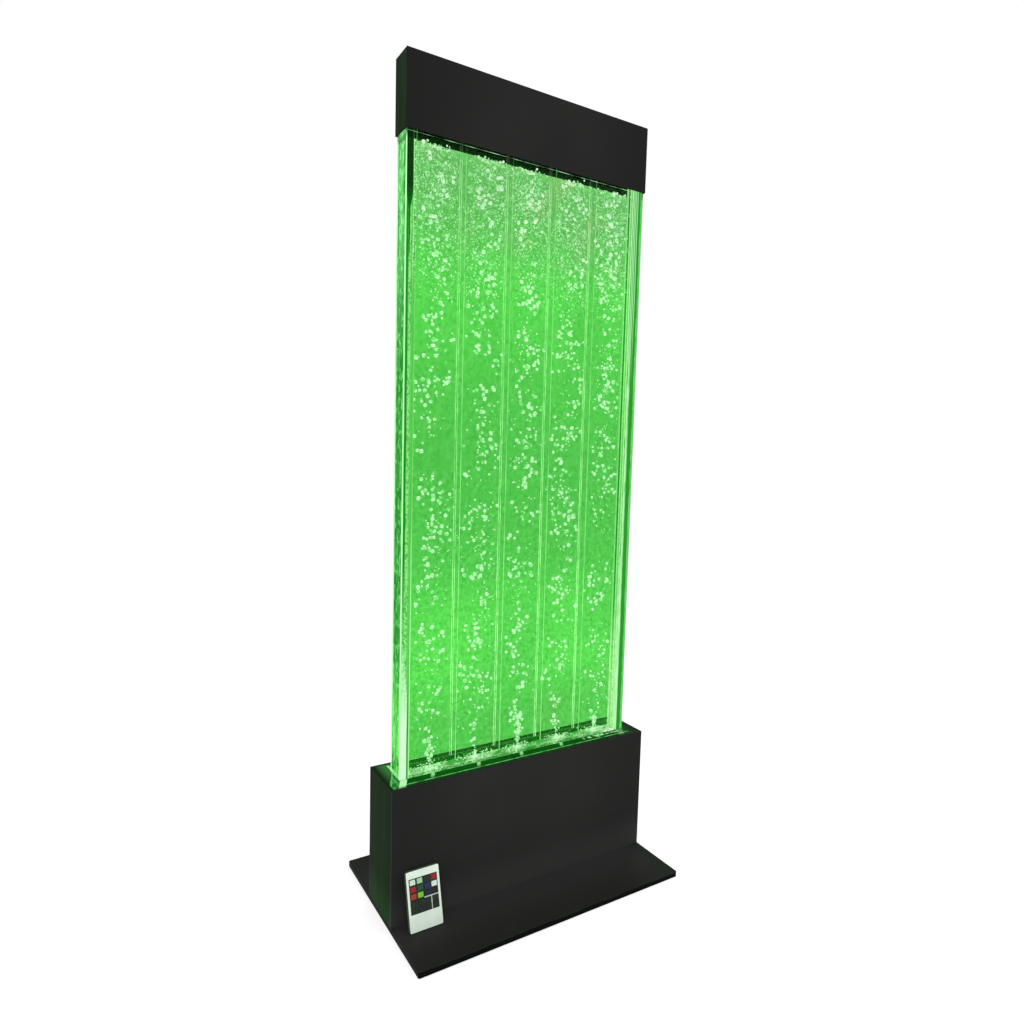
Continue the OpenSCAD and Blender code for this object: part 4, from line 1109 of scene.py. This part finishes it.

# %% [markdown]
# ## The remote
# The card remote has a white case, a black key panel and twenty soft keys: three rows in colours
# that match the light they call up, the rest dark grey. Two thin white lines are printed on the
# panel between groups of keys, one across and one upright. Their places come from the keys. The
# case is bright on its face only: its sides are painted darker, as shade from the black panel
# behind it.

# %% The case and the key panel
SHADED_SIDE = (0.085, 0.105, 0.088)
LINE_HALF = 0.75


def printed_panel():
    """The key panel: dark, with two thin printed lines between the groups of keys."""
    finish = Finish("remote key panel", specular_ior_level=0.3, roughness=0.5)
    x, y, z = finish.axes()
    upper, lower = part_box("key_row3_col3"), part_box("key_row4_col3")
    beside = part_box("key_row4_col4")
    line_z = (upper[0].z + lower[1].z) / 2 / MM
    line_x = (lower[1].x + beside[0].x) / 2 / MM
    across = (z - line_z).size().below(LINE_HALF) * x.above(lower[0].x / MM - 1)
    upright = (x - line_x).size().below(LINE_HALF) * z.below(line_z)
    ink = across.most(upright) * finish.noise(500).ramp(0.30, 0.45, 0.6, 0.95)
    dark = finish.noise(60).ramp(0.3, 0.7).mix((0.010, 0.016, 0.012), (0.015, 0.022, 0.017))
    finish.feed(base_color=ink.mix(dark, (0.58, 0.72, 0.60)))
    return finish.bump(finish.noise(700))


def white_case():
    """The remote's white case, with painted shade on its sides."""
    finish = moulded("remote white case", (0.76, 0.89, 0.76), 0.45, 0.3)
    face = finish.facing()[1].size().above(0.7)
    return finish.feed(base_color=face.mix(SHADED_SIDE, finish.colour()))


dress(white_case(), "remote_back_case", "remote_front_case", "battery_tray")
dress(printed_panel(), "remote_key_panel")

# %% The keys
WHITE, MINT, GREY = (0.66, 0.82, 0.68), (0.36, 0.64, 0.40), (0.013, 0.021, 0.016)
RED, ORANGE, LIME = (0.30, 0.018, 0.020), (0.40, 0.04, 0.025), (0.20, 0.56, 0.03)
BLUE, GREEN, NAVY = (0.020, 0.026, 0.110), (0.012, 0.085, 0.030), (0.014, 0.018, 0.060)
BLACK = (0.014, 0.012, 0.014)
KEY_TONES = [[WHITE, MINT, GREY, RED], [RED, GREEN, BLUE, WHITE], [ORANGE, LIME, NAVY, BLACK],
             [GREY] * 4, [GREY] * 4]
key_finishes = {}
for row, tones in enumerate(KEY_TONES, 1):
    for column, tone in enumerate(tones, 1):
        if tone not in key_finishes:
            key_finishes[tone] = rubber("soft key %d" % (len(key_finishes) + 1), tone, 0.55)
        dress(key_finishes[tone], "key_row%d_col%d" % (row, column))
print("key colours:", len(key_finishes))

# %% [markdown]
# ## Floor, backdrop and light
# The photograph's ground is pure white with hardly any shadow. The floor is a pale plane that is
# white to the camera and keeps a faint shadow at the base plate, and the world is white to the
# camera and to what gloss and clear water see, but a plain grey light to everything else.

# %% Stage and lamps
FLOOR_HALF = 20.0
FLOOR_LIFT = 0.455
ROOM_LIGHT = 0.62


def floor_finish():
    """A diffuse pale floor, lifted to white for the camera and for gloss and water."""
    finish = Finish("pale floor", roughness=0.9, specular_ior_level=0.0)
    finish.feed(base_color=finish.noise(500, 1).mix((0.86,) * 3, (0.90,) * 3))
    lift = finish.add("ShaderNodeEmission", {}, {"Color": (1, 1, 1),
                                                 "Strength": finish.seen() * FLOOR_LIFT})
    both = finish.add("ShaderNodeAddShader", {}, {0: Value(finish, finish.shader.outputs[0]),
                                                  1: lift})
    finish.give(finish.tree.nodes["Material Output"].inputs["Surface"], both)
    return finish


def wide_plane(shape):
    bmesh.ops.create_grid(shape, x_segments=1, y_segments=1, size=FLOOR_HALF)


def white_world():
    """White for the camera, gloss and clear water, a plain grey for the light on surfaces."""
    world = bpy.data.worlds.new("white room")
    bpy.context.scene.world = world
    world.use_nodes = True
    room = Tree(world.node_tree)
    background = world.node_tree.nodes["Background"]
    room.give(background.inputs["Color"], (1, 1, 1))
    room.give(background.inputs["Strength"], room.seen() * (1 - ROOM_LIGHT) + ROOM_LIGHT)


def soft_lamp(name, spot, aim, size, power):
    """A square area lamp at a spot, aimed at the object, and not seen in gloss or water."""
    light = bpy.data.lights.new(name, "AREA")
    light.size, light.energy = size, power
    lamp = place(name, light)
    lamp.location = spot
    lamp.rotation_euler = (Vector(aim) - Vector(spot)).to_track_quat("-Z", "Y").to_euler()
    lamp.visible_camera = lamp.visible_glossy = lamp.visible_transmission = False


mesh_piece("stage_floor", wide_plane, floor_finish().material)
white_world()
soft_lamp("key lamp", (-1.6, -2.4, 2.8), (0, 0, 0.5), 2.2, 46)
soft_lamp("fill lamp", (2.6, -1.4, 1.8), (0, 0, 0.5), 2.0, 16)
bpy.context.scene.view_settings.view_transform = "Standard"
print("lamps:", len(bpy.data.lights))
